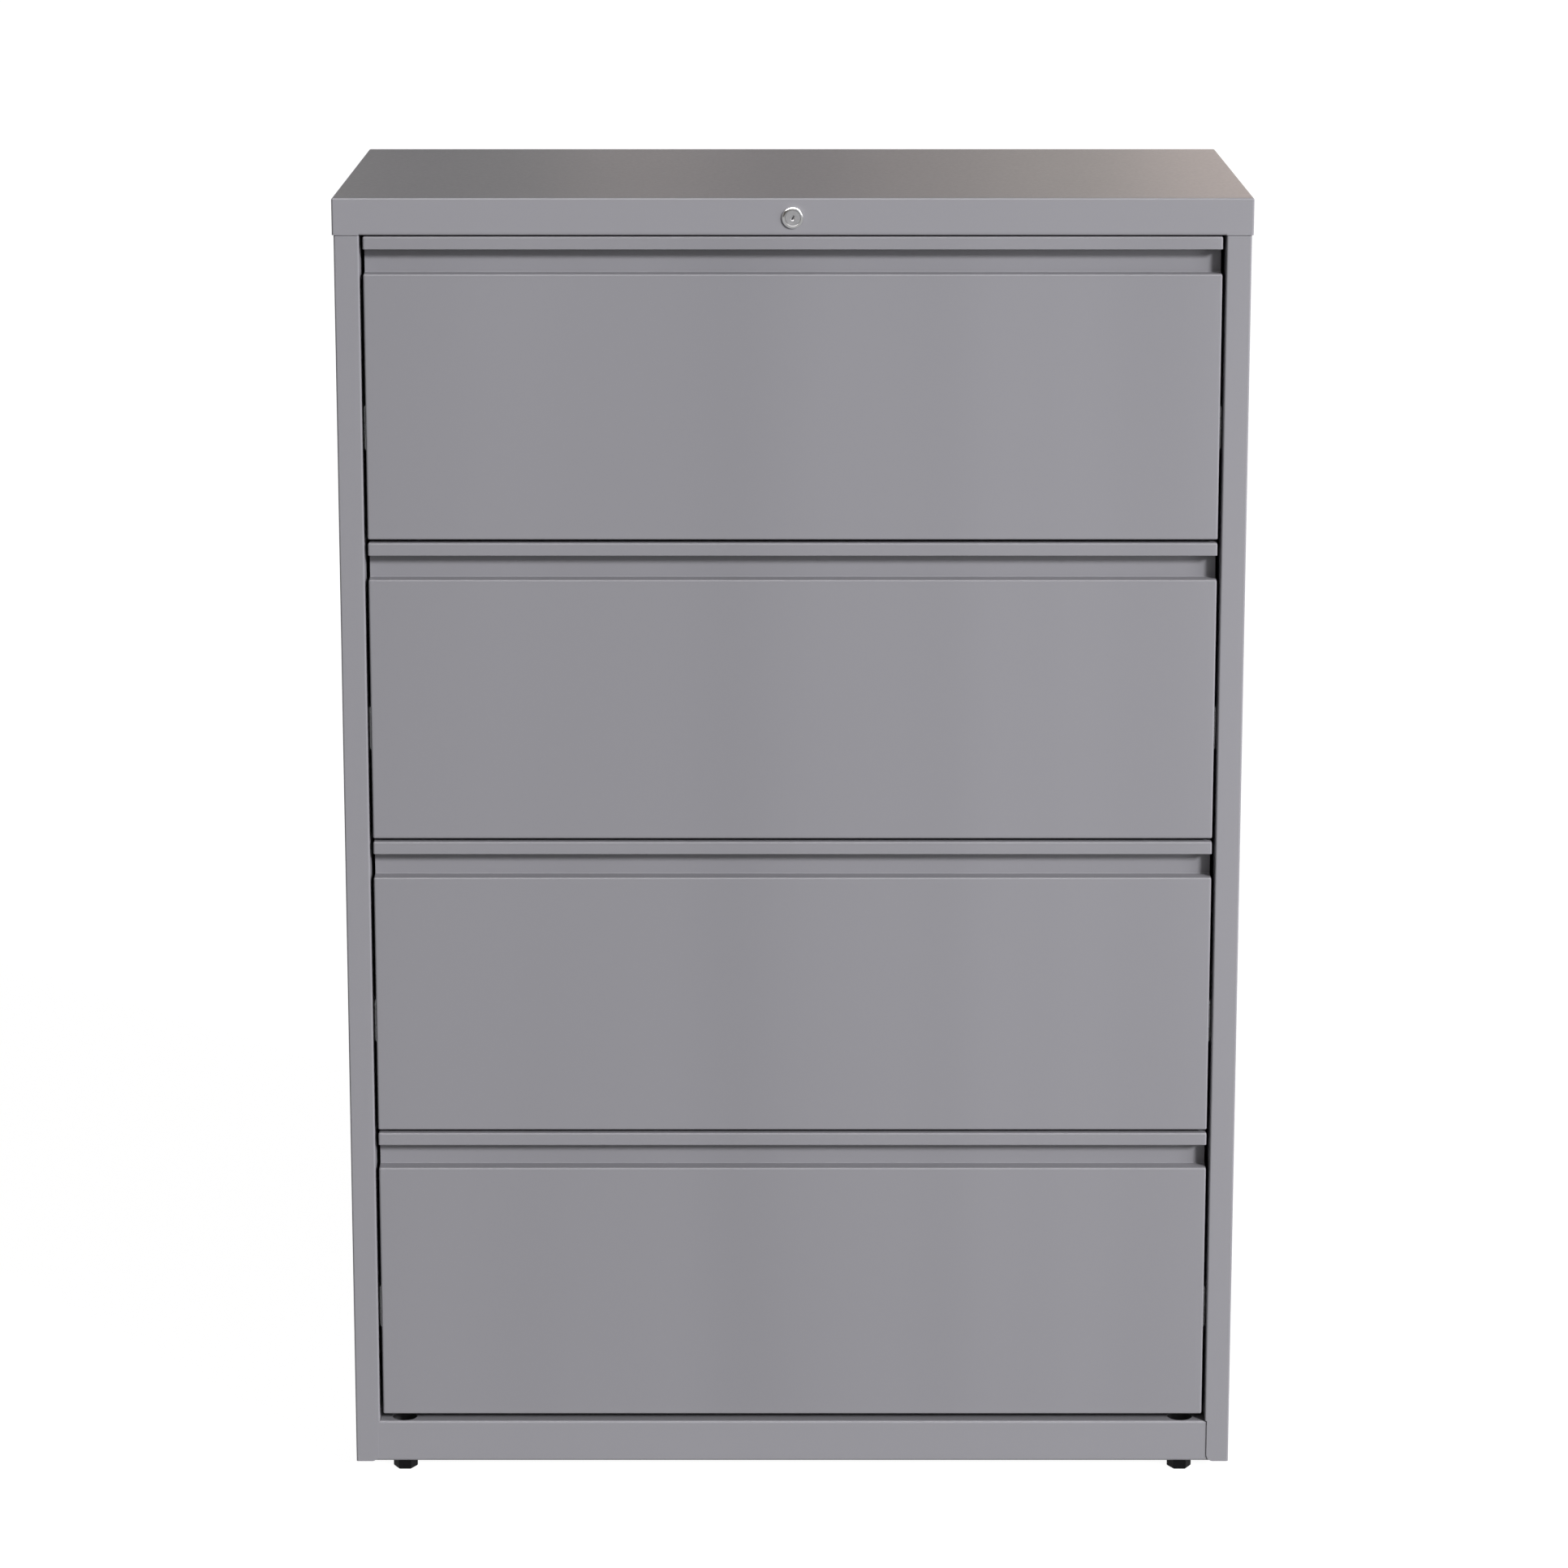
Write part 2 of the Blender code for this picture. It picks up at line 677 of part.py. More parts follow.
def front_mesh():
    """One sheet: back lip, panel, floor and back of the pull, and the pull's lip."""
    half = SHEET / 2
    back = PULL_DEPTH + half
    path = [
        (back, FRONT_LIP),
        (back, half),
        (half, half),
        (half, PANEL_HEIGHT - half),
        (back, PANEL_HEIGHT - half),
        (back, FRONT_HEIGHT - half),
        (half, FRONT_HEIGHT - half),
        (half, FRONT_HEIGHT - PULL_LIP),
    ]
    sheet = prism(sheet_outline(path), "X", -DRAWER_WIDTH / 2, DRAWER_WIDTH / 2)
    cheeks = []
    for sign in SIDES.values():
        inner = sign * (DRAWER_WIDTH / 2 - SHEET - GAP)
        outer = sign * (DRAWER_WIDTH / 2 - GAP)
        low = (min(inner, outer), half, half)
        cheeks.append(block(low, (max(inner, outer), PULL_DEPTH - GAP, PANEL_HEIGHT - half)))
    return joined(sheet, cheeks)


def tray_mesh():
    """An open box with notches for the ends of the hanging rails."""
    front = PULL_DEPTH + SHEET + GAP
    bm = bmesh.new()
    bm.from_mesh(block((-TRAY_HALF, front, TRAY_BOTTOM), (TRAY_HALF, TRAY_BACK, TRAY_TOP)))
    mouth = max(bm.faces, key=lambda f: f.calc_center_median().z)
    bmesh.ops.inset_region(bm, faces=[mouth], thickness=SHEET, use_even_offset=True)
    floor = bmesh.ops.extrude_face_region(bm, geom=[mouth])["geom"]
    bmesh.ops.delete(bm, geom=[mouth], context="FACES_ONLY")
    sunk = [g for g in floor if isinstance(g, bmesh.types.BMVert)]
    bmesh.ops.translate(bm, verts=sunk, vec=(0, 0, TRAY_BOTTOM + SHEET - TRAY_TOP))
    half = RAIL_SHEET / 2 + GAP
    notches = []
    for behind in RAILS_BEHIND.values():
        for sign in SIDES.values():
            middle = sign * TRAY_HALF
            low = (middle - RAIL_NOTCH_HALF, behind - half, TRAY_TOP - RAIL_NOTCH)
            high = (middle + RAIL_NOTCH_HALF, behind + half, TRAY_TOP + BEYOND)
            notches.append(block(low, high))
    return cut(mesh_of(bm), notches)


def rail_mesh():
    """A strip across the tray whose two shoulders drop into the notches."""
    inside = TRAY_HALF - SHEET - GAP
    top = TRAY_TOP + RAIL_RISE
    shoulder = TRAY_TOP - RAIL_NOTCH + GAP
    bottom = top - RAIL_HEIGHT
    right = [(inside, bottom), (inside, shoulder), (RAIL_REACH, shoulder), (RAIL_REACH, top)]
    left = [(-x, z) for x, z in reversed(right)]
    return prism(right + left, "Y", -RAIL_SHEET / 2, RAIL_SHEET / 2)


def slide_outline(section, sign, opens_outward=False):
    """A C section along Y. The inner member opens outward, the others inward."""
    inner, outer, half_height = section
    half = SLIDE_SHEET / 2
    web = inner + half if opens_outward else outer - half
    tips = outer if opens_outward else inner
    path = [
        (tips, -half_height + half),
        (web, -half_height + half),
        (web, half_height - half),
        (tips, half_height - half),
    ]
    outline = sheet_outline(path, thickness=SLIDE_SHEET, bend=SLIDE_BEND, steps=2)
    return [(sign * x, z + SLIDE_LEVEL) for x, z in outline]


def slide_member(name, section, sign, ends, holder, finish, opens_outward=False):
    outline = slide_outline(section, sign, opens_outward)
    add_piece(name, prism(outline, "Y", *ends), finish, holder)


def drawer(number, meshes, finishes, body):
    """The sliding group, the half-travel slide members, and the fixed ones."""
    bottom = drawer_bottom(number)
    place = (0, POST_Y, bottom)
    holder = frame(f"drawer_{number}_frame", place)
    middle = frame(f"slides_{number}_frame", place)
    name = f"drawer_{number}"
    add_piece(f"{name}_front", meshes["front"], finishes["front"], holder)
    add_piece(f"{name}_tray", meshes["tray"], finishes["tray"], holder)
    for row, behind in RAILS_BEHIND.items():
        place_in = (0, behind, 0)
        add_piece(f"{name}_{row}_hang_rail", meshes["rail"], finishes["rail"], holder, place_in)
    full = (SLIDE_FRONT, SLIDE_BACK)
    inset = (SLIDE_FRONT + MID_INSET, SLIDE_BACK - MID_INSET)
    fixed = frame(f"fixed_slides_{number}_frame", place)
    fixed.parent = body
    fixed.location = (0, 0, bottom)
    steel = finishes["slide"]
    for side, sign in SIDES.items():
        slide_member(f"{name}_slide_inner_{side}", INNER_SECTION, sign, full, holder, steel, True)
        slide_member(f"{name}_slide_mid_{side}", MID_SECTION, sign, inset, middle, steel)
        slide_member(f"{name}_slide_outer_{side}", OUTER_SECTION, sign, full, fixed, steel)


def drawers(body):
    meshes = {"front": front_mesh(), "tray": tray_mesh(), "rail": rail_mesh()}
    finishes = {
        "front": painted_steel("drawer_front_paint"),
        "tray": painted_steel("tray_paint"),
        "rail": zinc_steel("rail_zinc"),
        "slide": zinc_steel("slide_zinc"),
    }
    for number in range(1, DRAWER_COUNT + 1):
        drawer(number, meshes, finishes, body)


def main():
    clear_scene()
    body = frame("cabinet_frame", (0, POST_Y, 0))
    top_cap(body)
    for side, sign in SIDES.items():
        side_panel(body, side, sign)
        rear_upright(body, side, sign)
    back_panel(body)
    base_front_rail(body)
    base_pan(body)
    counterweight(body)
    top_front_channel(body)
    levellers()
    lock = frame("lock_axis", (0, CAP_FRONT_Y, LOCK_Z))
    lock_housing(lock)
    lock_plug(lock)
    lock_cam(lock)
    lock_link(lock)
    lock_bar(lock)
    drawers(body)


main()
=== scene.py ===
"""Looks for the lateral filing cabinet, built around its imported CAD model.

Metres, +Z up, drawers facing -Y. Sheet pieces are folded: their flat outer faces
are listed, and the edges that those share become round bends of even thickness.
"""

import math

import bmesh
import bpy
from mathutils import Matrix, Vector


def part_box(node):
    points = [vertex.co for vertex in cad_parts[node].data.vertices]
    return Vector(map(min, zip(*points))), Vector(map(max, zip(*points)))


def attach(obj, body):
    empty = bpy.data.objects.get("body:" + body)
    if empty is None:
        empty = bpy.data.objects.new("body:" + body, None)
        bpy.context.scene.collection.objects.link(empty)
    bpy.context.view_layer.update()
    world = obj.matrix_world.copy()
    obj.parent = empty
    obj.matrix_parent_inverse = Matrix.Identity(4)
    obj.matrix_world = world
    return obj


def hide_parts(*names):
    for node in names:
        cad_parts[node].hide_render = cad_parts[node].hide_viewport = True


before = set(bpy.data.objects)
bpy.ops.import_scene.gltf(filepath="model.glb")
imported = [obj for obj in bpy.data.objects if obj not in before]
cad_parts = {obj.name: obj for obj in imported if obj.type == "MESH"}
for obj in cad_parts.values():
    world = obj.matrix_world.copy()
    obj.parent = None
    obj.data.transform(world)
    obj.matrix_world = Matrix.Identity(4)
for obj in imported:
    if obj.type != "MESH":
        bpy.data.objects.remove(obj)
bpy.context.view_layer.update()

# Sheet: thicknesses, inner radii of the bends, and the rounding of a cut rim
SHEET = 0.001
CAP_SHEET = 0.0012
BEND = 0.0009
BASE_BEND = 0.0018
RIM = 0.00018

# Clearance round a notch, and how far a cutter goes past what it cuts: through a wall,
# beyond an edge, and up where it has to clear everything
GAP = 0.0003
THROUGH = 0.002
PAST = 0.01
SKY = 1

POST_RETURN = 0.055
FLANGE = 0.018
SLIDE_WALL = 0.0012

SIDES = {"left": -1, "right": 1}
DRAWERS = range(1, 5)

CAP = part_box("top_cap")
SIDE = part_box("side_panel_right")
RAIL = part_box("base_front_rail")
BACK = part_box("back_panel")
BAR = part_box("lock_bar")
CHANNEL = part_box("top_front_channel")
FRONT_Y = SIDE[0].y
OPENING = SIDE[0].x
LOCK_Z = (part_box("lock_plug")[0].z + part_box("lock_plug")[1].z) / 2

# Meshes


def mesh_of(bm):
    made = bpy.data.meshes.new("shape")
    bm.to_mesh(made)
    bm.free()
    return made


def prism(outline, axis, low, high):
    """The outline swept along an axis. Its points are the other two axes in order."""
    across = {"X": (1, 2, 0), "Y": (0, 2, 1), "Z": (0, 1, 2)}[axis]
    bm = bmesh.new()
    rings = []
    for level in (low, high):
        ring = []
        for point in outline:
            place = [0.0, 0.0, 0.0]
            place[across[0]], place[across[1]], place[across[2]] = *point, level
            ring.append(bm.verts.new(place))
        rings.append(ring)
    count = len(outline)
    for i in range(count):
        j = (i + 1) % count
        bm.faces.new((rings[0][i], rings[0][j], rings[1][j], rings[1][i]))
    bm.faces.new(rings[0][::-1])
    bm.faces.new(rings[1])
    bmesh.ops.recalc_face_normals(bm, faces=bm.faces)
    return mesh_of(bm)


def block(low, high):
    corners = [(low[0], low[1]), (high[0], low[1]), (high[0], high[1]), (low[0], high[1])]
    return prism(corners, "Z", low[2], high[2])


def arc(centre, radius, start, end, steps):
    angles = [start + (end - start) * i / steps for i in range(steps + 1)]
    return [Vector(centre) + radius * Vector((math.cos(a), math.sin(a))) for a in angles]


def rod(centre, radius, axis, low, high, steps=32):
    ring = arc(centre, radius, 0, math.tau * (1 - 1 / steps), steps - 1)
    return prism(ring, axis, low, high)


def turned(profile, steps=64):
    """An open profile of (radius, along) points, spun about Z; its ends may be on it."""
    bm = bmesh.new()
    rings = []
    for radius, along in profile:
        if radius < 1e-7:
            rings.append([bm.verts.new((0, 0, along))])
            continue
        turns = [math.tau * i / steps for i in range(steps)]
        spots = [(radius * math.cos(t), radius * math.sin(t), along) for t in turns]
        rings.append([bm.verts.new(spot) for spot in spots])
    for below, above in zip(rings, rings[1:]):
        for i in range(steps):
            j = (i + 1) % steps
            ring = [below[i % len(below)], below[j % len(below)]]
            ring += [above[j % len(above)], above[i % len(above)]]
            bm.faces.new(list(dict.fromkeys(ring)))
    bmesh.ops.recalc_face_normals(bm, faces=bm.faces)
    return mesh_of(bm)


def together(meshes):
    """Several meshes as one."""
    bm = bmesh.new()
    for mesh in meshes:
        bm.from_mesh(mesh)
    return mesh_of(bm)


def placed(mesh, place=(0, 0, 0), facing="+Z"):
    """A copy of a mesh made along +Z, turned to face an axis and moved."""
    towards = Vector([(1 if facing[0] == "+" else -1) * (facing[1] == a) for a in "XYZ"])
    turn = Vector((0, 0, 1)).rotation_difference(towards).to_matrix().to_4x4()
    made = mesh.copy()
    made.transform(Matrix.Translation(place) @ turn)
    return made


def mirrored(mesh):
    bm = bmesh.new()
    bm.from_mesh(mesh)
    bmesh.ops.transform(bm, matrix=Matrix.Scale(-1, 4, (1, 0, 0)), verts=bm.verts)
    bmesh.ops.reverse_faces(bm, faces=bm.faces)
    return mesh_of(bm)


def with_steps(mesh, steps):
    """The mesh after its modifiers, given as (type, settings)."""
    helper = bpy.data.objects.new("helper", mesh)
    bpy.context.scene.collection.objects.link(helper)
    cutters = []
    for kind, settings in steps:
        step = helper.modifiers.new(kind.lower(), kind)
        for key, value in settings.items():
            if key == "cutter":
                cutters.append(bpy.data.objects.new("cutter", value))
                bpy.context.scene.collection.objects.link(cutters[-1])
                step.object = cutters[-1]
            else:
                setattr(step, key, value)
    bpy.context.view_layer.update()
    graph = bpy.context.evaluated_depsgraph_get()
    made = bpy.data.meshes.new_from_object(helper.evaluated_get(graph))
    for obj in [helper, *cutters]:
        bpy.data.objects.remove(obj, do_unlink=True)
    return made


def rounding(width, steps, angle=50):
    return ("BEVEL", {"width": width, "segments": steps, "limit_method": "ANGLE",
                      "angle_limit": math.radians(angle), "use_clamp_overlap": True})


def cutting(meshes):
    return ("BOOLEAN", {"operation": "DIFFERENCE", "solver": "EXACT",
                        "cutter": together(meshes)})


def soft(mesh, width=RIM, steps=2):
    return with_steps(mesh, [rounding(width, steps, 35)])


def rect(facing, level, first, second):
    """A rectangle that faces an axis. Its spans are along the other axes in order."""
    axis = "XYZ".index(facing[1])
    others = [a for a in range(3) if a != axis]
    corners = []
    for a, b in ((0, 0), (1, 0), (1, 1), (0, 1)):
        corner = Vector((0, 0, 0))
        corner[axis], corner[others[0]], corner[others[1]] = level, first[a], second[b]
        corners.append(corner)
    normal = (corners[1] - corners[0]).cross(corners[2] - corners[1])
    return corners if (normal[axis] > 0) == (facing[0] == "+") else corners[::-1]


def folded(faces, thickness=SHEET, inside=BEND, cutters=(), steps=6):
    """A sheet whose visible side is these faces, bent round wherever two of them meet."""
    spots = {tuple(round(v, 6) for v in p): p for face in faces for p in face}
    bm = bmesh.new()
    verts = {key: bm.verts.new(p) for key, p in spots.items()}
    for face in faces:
        loop = []
        for a, b in zip(face, face[1:] + face[:1]):
            on_edge = [(0.0, tuple(round(v, 6) for v in a))]
            for key, p in spots.items():
                along = (p - a).dot(b - a) / (b - a).length_squared
                if 1e-4 < along < 1 - 1e-4 and (a.lerp(b, along) - p).length < 1e-6:
                    on_edge.append((along, key))
            loop += [verts[key] for _, key in sorted(on_edge)]
        bm.faces.new(loop)
    bm.normal_update()
    weight = bm.edges.layers.float.new("bevel_weight_edge")
    outside = inside + thickness
    for edge in bm.edges:
        if len(edge.link_faces) == 2 and edge.calc_face_angle() > 0.1:
            edge[weight] = 1.0 if edge.is_convex else inside / outside
    bends = {"width": outside, "segments": steps, "limit_method": "WEIGHT",
             "use_clamp_overlap": False}
    thick = {"thickness": thickness, "offset": -1, "use_even_offset": True}
    todo = [("BEVEL", bends), ("SOLIDIFY", thick)]
    if cutters:
        todo.append(cutting(cutters))
    return with_steps(mesh_of(bm), todo + [rounding(RIM, 2)])


def bead(start, end, half_width, height, facing):
    """A long pressed bead with round ends, standing on a flat sheet."""
    levels, turns = 7, 8
    start, end = Vector(start), Vector(end)
    way = (end - start).normalized()
    up = Vector([(1 if facing[0] == "+" else -1) * (facing[1] == a) for a in "XYZ"])
    across = up.cross(way)
    bm = bmesh.new()
    rings = []
    for i in range(levels):
        share = i / levels
        rise = height * (1 - math.cos(math.pi * share)) / 2
        reach = half_width * (1 - share)
        ring = []
        for centre, first in ((start, math.pi / 2), (end, -math.pi / 2)):
            for j in range(turns + 1):
                a = first + math.pi * j / turns
                spot = centre + reach * (way * math.cos(a) + across * math.sin(a)) + up * rise
                ring.append(bm.verts.new(spot))
        rings.append(ring)
    for low, high in zip(rings, rings[1:]):
        for i in range(len(low)):
            j = (i + 1) % len(low)
            bm.faces.new((low[i], low[j], high[j], high[i]))
    bm.faces.new(rings[-1])
    bmesh.ops.recalc_face_normals(bm, faces=bm.faces)
    return mesh_of(bm)


# Materials


class Nodes:
    """A node tree under construction."""

    def __init__(self, owner):
        owner.use_nodes = True
        self.owner, self.tree = owner, owner.node_tree

    def add(self, kind, inputs=(), out=0, **settings):
        """Adds a node, fills or links its inputs, and gives one of its outputs."""
        node = self.tree.nodes.new("ShaderNode" + kind)
        for key, value in settings.items():
            setattr(node, key, value)
        for key, value in dict(inputs).items():
            if isinstance(value, bpy.types.NodeSocket):
                self.tree.links.new(value, node.inputs[key])
            else:
                node.inputs[key].default_value = value
        return node.outputs[out] if len(node.outputs) else None

    def ramp(self, value, stops, smooth=False):
        color = self.add("ValToRGB", {"Fac": value})
        ramp = color.node.color_ramp
        ramp.interpolation = "EASE" if smooth else "LINEAR"
        while len(ramp.elements) < len(stops):
            ramp.elements.new(0.5)
        for element, (place, shade) in zip(ramp.elements, stops):
            element.position, element.color = place, (*shade, 1)
        return color

    def ranged(self, value, start, end, low, high):
        inputs = {"Value": value, "From Min": start, "From Max": end, "To Min": low,
                  "To Max": high}
        return self.add("MapRange", inputs)

    def total(self, first, second, share):
        return self.add("Math", {0: second, 1: share, 2: first}, operation="MULTIPLY_ADD")

    def parts(self, vector):
        return self.add("SeparateXYZ", {"Vector": vector}).node.outputs


class Finish(Nodes):
    """A Principled material whose patterns lie in the object's own coordinates."""

    def __init__(self, name, **fixed):
        super().__init__(bpy.data.materials.new(name))
        self.shader = self.tree.nodes["Principled BSDF"].inputs
        for key, value in fixed.items():
            self.shader[key.replace("_", " ")].default_value = value
        self.where = self.add("TexCoord", out="Object")

    def noise(self, scale, detail=3.0, roughness=0.5, stretch=None, turn=(0, 0, 0)):
        place = self.where
        if stretch:
            inputs = {"Vector": place, "Scale": stretch, "Rotation": turn}
            place = self.add("Mapping", inputs)
        inputs = {"Vector": place, "Scale": scale, "Detail": detail, "Roughness": roughness}
        return self.add("TexNoise", inputs, out="Fac")

    def dress(self, color, rough, height, distance, strength):
        bump = {"Height": height, "Distance": distance, "Strength": strength}
        self.tree.links.new(color, self.shader["Base Color"])
        self.tree.links.new(rough, self.shader["Roughness"])
        self.tree.links.new(self.add("Bump", bump), self.shader["Normal"])
        return self.owner


def tinted(color, share):
    return tuple(c * share for c in color)


def paint(name, color, reflection_banding, dust=False):
    """Satin powder coat: painted reflection bands down the sheet, orange peel and a fine grain.

    Dust dulls the faces that look up.
    """
    made = Finish(name, Specular_IOR_Level=0.5)
    lean = (0, math.radians(9), 0)
    # Soft vertical bands, lighter and darker: a painted reflection of the studio in the sheet
    bands = made.noise(5.5, detail=1.0, roughness=0.4, stretch=(1, 1, 0.05), turn=lean)
    stops = [(0.30, tinted(color, 1 - reflection_banding)), (0.70, tinted(color, 1 + reflection_banding))]
    peel = made.noise(260, 2.0)
    grain = made.noise(1400, 2.0)
    rough = made.ranged(made.total(peel, grain, 0.5), 0.5, 1.0, 0.34, 0.44)
    if dust:
        rise = made.parts(made.add("NewGeometry", out="Normal"))["Z"]
        rough = made.ranged(rise, 0.85, 0.97, rough, 1.0)
    relief = made.total(peel, grain, 0.35)
    return made.dress(made.ramp(bands, stops), rough, relief, distance=0.00006, strength=0.35)


def plated(name, color, low, high, stretch):
    """Plated steel: large soft spangles, and a grain along the length of the strip."""
    made = Finish(name, Metallic=1.0)
    spangle = made.noise(60, 2.0)
    stops = [(0.3, tinted(color, 0.95)), (0.7, tinted(color, 1.04))]
    grain = made.noise(700, stretch=stretch)
    rough = made.ranged(made.total(spangle, grain, 0.5), 0.5, 1.0, low, high)
    return made.dress(made.ramp(spangle, stops), rough, grain, distance=0.000004, strength=0.12)


def chrome(name, color, low, high, grain_height):
    """Bright plating: polished on the bezel, satin on the face of the plug."""
    made = Finish(name, Metallic=1.0)
    haze = made.noise(400, 3.0)
    stops = [(0.3, tinted(color, 0.94)), (0.7, tinted(color, 1.04))]
    rough = made.ranged(haze, 0.3, 0.7, low, high)
    grain = made.noise(2500, 2.0)
    return made.dress(made.ramp(haze, stops), rough, grain, distance=grain_height, strength=0.3)


def nylon(name):
    """Black moulded plastic, a little mottled."""
    made = Finish(name, Specular_IOR_Level=0.15)
    mottle = made.noise(300, 3.0)
    stops = [(0.3, (0.0035, 0.0035, 0.004)), (0.7, (0.0060, 0.0060, 0.0066))]
    rough = made.ranged(mottle, 0.3, 0.7, 0.34, 0.5)
    grain = made.noise(1800, 2.0)
    return made.dress(made.ramp(mottle, stops), rough, grain, distance=0.00003, strength=0.4)


def mill_scale(name):
    """Raw hot-rolled steel: dark scale with rusty patches."""
    made = Finish(name, Metallic=0.6)
    patches = made.noise(28, 6.0, 0.65)
    stops = [(0.35, (0.075, 0.078, 0.085)), (0.55, (0.12, 0.118, 0.115)),
             (0.70, (0.17, 0.115, 0.08))]
    rough = made.ranged(patches, 0.3, 0.7, 0.5, 0.8)
    relief = made.noise(350, 5.0, 0.6)
    return made.dress(made.ramp(patches, stops), rough, relief, distance=0.0002, strength=0.5)


SILVER = (0.285, 0.281, 0.306)
STEEL = (0.70, 0.71, 0.73)
FINISHES = {
    "cap_paint": paint("cap_paint", tinted(SILVER, 1.06), 0.010),
    "body_paint": paint("body_paint", tinted(SILVER, 1.03), 0.012),
    "drawer_paint": paint("drawer_paint", tinted(SILVER, 0.98), 0.06, dust=True),
    "inner_paint": paint("inner_paint", tinted(SILVER, 0.92), 0.020),
    "zinc_steel": plated("zinc_steel", STEEL, 0.26, 0.42, (1, 1, 0.05)),
    "slide_steel": plated("slide_steel", STEEL, 0.20, 0.34, (1, 0.04, 1)),
    "lock_chrome": chrome("lock_chrome", (0.82, 0.82, 0.825), 0.06, 0.12, 0.000003),
    "lock_satin": chrome("lock_satin", (0.74, 0.74, 0.76), 0.30, 0.40, 0.00001),
    "foot_black": nylon("foot_black"),
    "slab_steel": mill_scale("slab_steel"),
}

# Pieces


def piece(name, mesh, body, slot, replaces=(), place=(0, 0, 0), finish=None):
    """A named piece that moves with a body, and stands for the CAD nodes it replaces."""
    mesh = placed(mesh, place)
    obj = bpy.data.objects.new(name, mesh)
    bpy.context.scene.collection.objects.link(obj)
    mesh.materials.append(FINISHES[finish or slot])
    mesh.shade_smooth()
    mesh.set_sharp_from_angle(angle=math.radians(40))
    even = obj.modifiers.new("even shading", "WEIGHTED_NORMAL")
    even.keep_sharp = True
    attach(obj, body)
    if replaces:
        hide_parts(*replaces)
    return obj


def finish_node(name, slot, edge=0.00015):
    """A CAD node whose shape is right: it gets its finish and softened edges."""
    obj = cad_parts[name]
    obj.data.materials.clear()
    obj.data.materials.append(FINISHES[slot])
    weld = obj.modifiers.new("weld", "WELD")
    weld.merge_threshold = 0.00001
    round_off = obj.modifiers.new("edges", "BEVEL")
    round_off.width, round_off.segments = edge, 2
    round_off.limit_method, round_off.angle_limit = "ANGLE", math.radians(40)
    even = obj.modifiers.new("even shading", "WEIGHTED_NORMAL")
    even.keep_sharp = True


def screw_head(radius=0.0034, height=0.0014):
    """A pan head with a cross recess, standing on z = 0."""
    dome = [(0, height), (radius * 0.55, height * 0.97), (radius * 0.82, height * 0.8),
            (radius * 0.96, height * 0.5), (radius, height * 0.2), (radius, 0), (0, 0)]
    slot, reach = radius * 0.14, radius * 0.55
    arms = [block((-reach, -slot, height * 0.35), (reach, slot, SKY)),
            block((-slot, -reach, height * 0.35), (slot, reach, SKY))]
    return with_steps(turned(dome, 32), [cutting([arms[0]]), cutting([arms[1]])])


def rivet_head(radius=0.0028, height=0.0011):
    dome = [(0, height), (radius * 0.5, height * 0.92), (radius * 0.85, height * 0.6),
            (radius, height * 0.15), (radius, 0), (0, 0)]
    return turned(dome, 24)


SCREW = screw_head()
RIVET = rivet_head()


def cap_shell():
    """A folded lid, whose front flange turns in as a lip over the opening."""
    low, high = CAP
    wide, deep, tall = (low.x, high.x), (low.y, high.y), (low.z, high.z)
    lip, lip_back = OPENING - 0.0006, FRONT_Y + 0.010
    relief = lip + GAP
    lock_hole, screw_rise = 0.0098, 0.012
    front = [(low.x, low.z), (-relief, low.z), (-lip, low.z), (lip, low.z),
             (relief, low.z), (high.x, low.z), (high.x, high.z), (low.x, high.z)]
    faces = [
        rect("+Z", high.z, wide, deep),
        [Vector((x, low.y, z)) for x, z in front],
        rect("+Y", high.y, wide, tall),
        rect("-X", low.x, deep, tall),
        rect("+X", high.x, deep, tall),
        rect("-Z", low.z, (-lip, lip), (low.y, lip_back)),
    ]
    hole = rod((0, LOCK_Z), lock_hole, "Y", low.y - PAST, low.y + 0.005, 48)
    mesh = folded(faces, CAP_SHEET, BEND, [hole])
    piece("cap_shell", mesh, "cabinet", "cap_paint", ["top_cap"])
    spots = [(x, high.y, low.z + screw_rise) for x in (-0.30, 0.0, 0.30)]
    screws = together([placed(SCREW, spot, "+Y") for spot in spots])
    piece("cap_rear_screws", screws, "cabinet", "zinc_steel")


def side_faces(low, high):
    """The right side: post return, post front, side and rear flange."""
    tall = (low.z, high.z)
    return [
        rect("-X", low.x, (low.y, low.y + POST_RETURN), tall),
        rect("-Y", low.y, (low.x, high.x), tall),
        rect("+X", high.x, (low.y, high.y), tall),
        rect("+Y", high.y, (high.x - FLANGE, high.x), tall),
    ]


def post_notch(low):
    """What is cut from the foot of the post, with a round corner at the bottom."""
    edge, top, corner = low.x + 0.0022, RAIL[1].z + GAP, 0.007
    outline = [(low.x - PAST, top), (edge, top)]
    outline += arc((edge + corner, low.z + corner), corner, math.pi, 1.5 * math.pi, 10)
    outline += [(edge + corner, low.z - PAST), (low.x - PAST, low.z - PAST)]
    return prism(outline, "Y", low.y - PAST, low.y + POST_RETURN + PAST)


def catch_slots(low):
    """The bar's window at the top and a slot beside each drawer, in the right post."""
    front, back, link_room = BAR[1].y - 0.0034, BAR[1].y + 0.0014, 0.0035
    catch_rise, below, above = 0.160, 0.0195, 0.0075
    near, far = low.x - THROUGH, low.x + THROUGH
    cutters = [block((near, front - link_room, CAP[0].z), (far, back, CAP[1].z))]
    for number in DRAWERS:
        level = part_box(f"drawer_{number}_front")[0].z + catch_rise
        cutters.append(block((near, front, level - below), (far, back, level + above)))
    return cutters


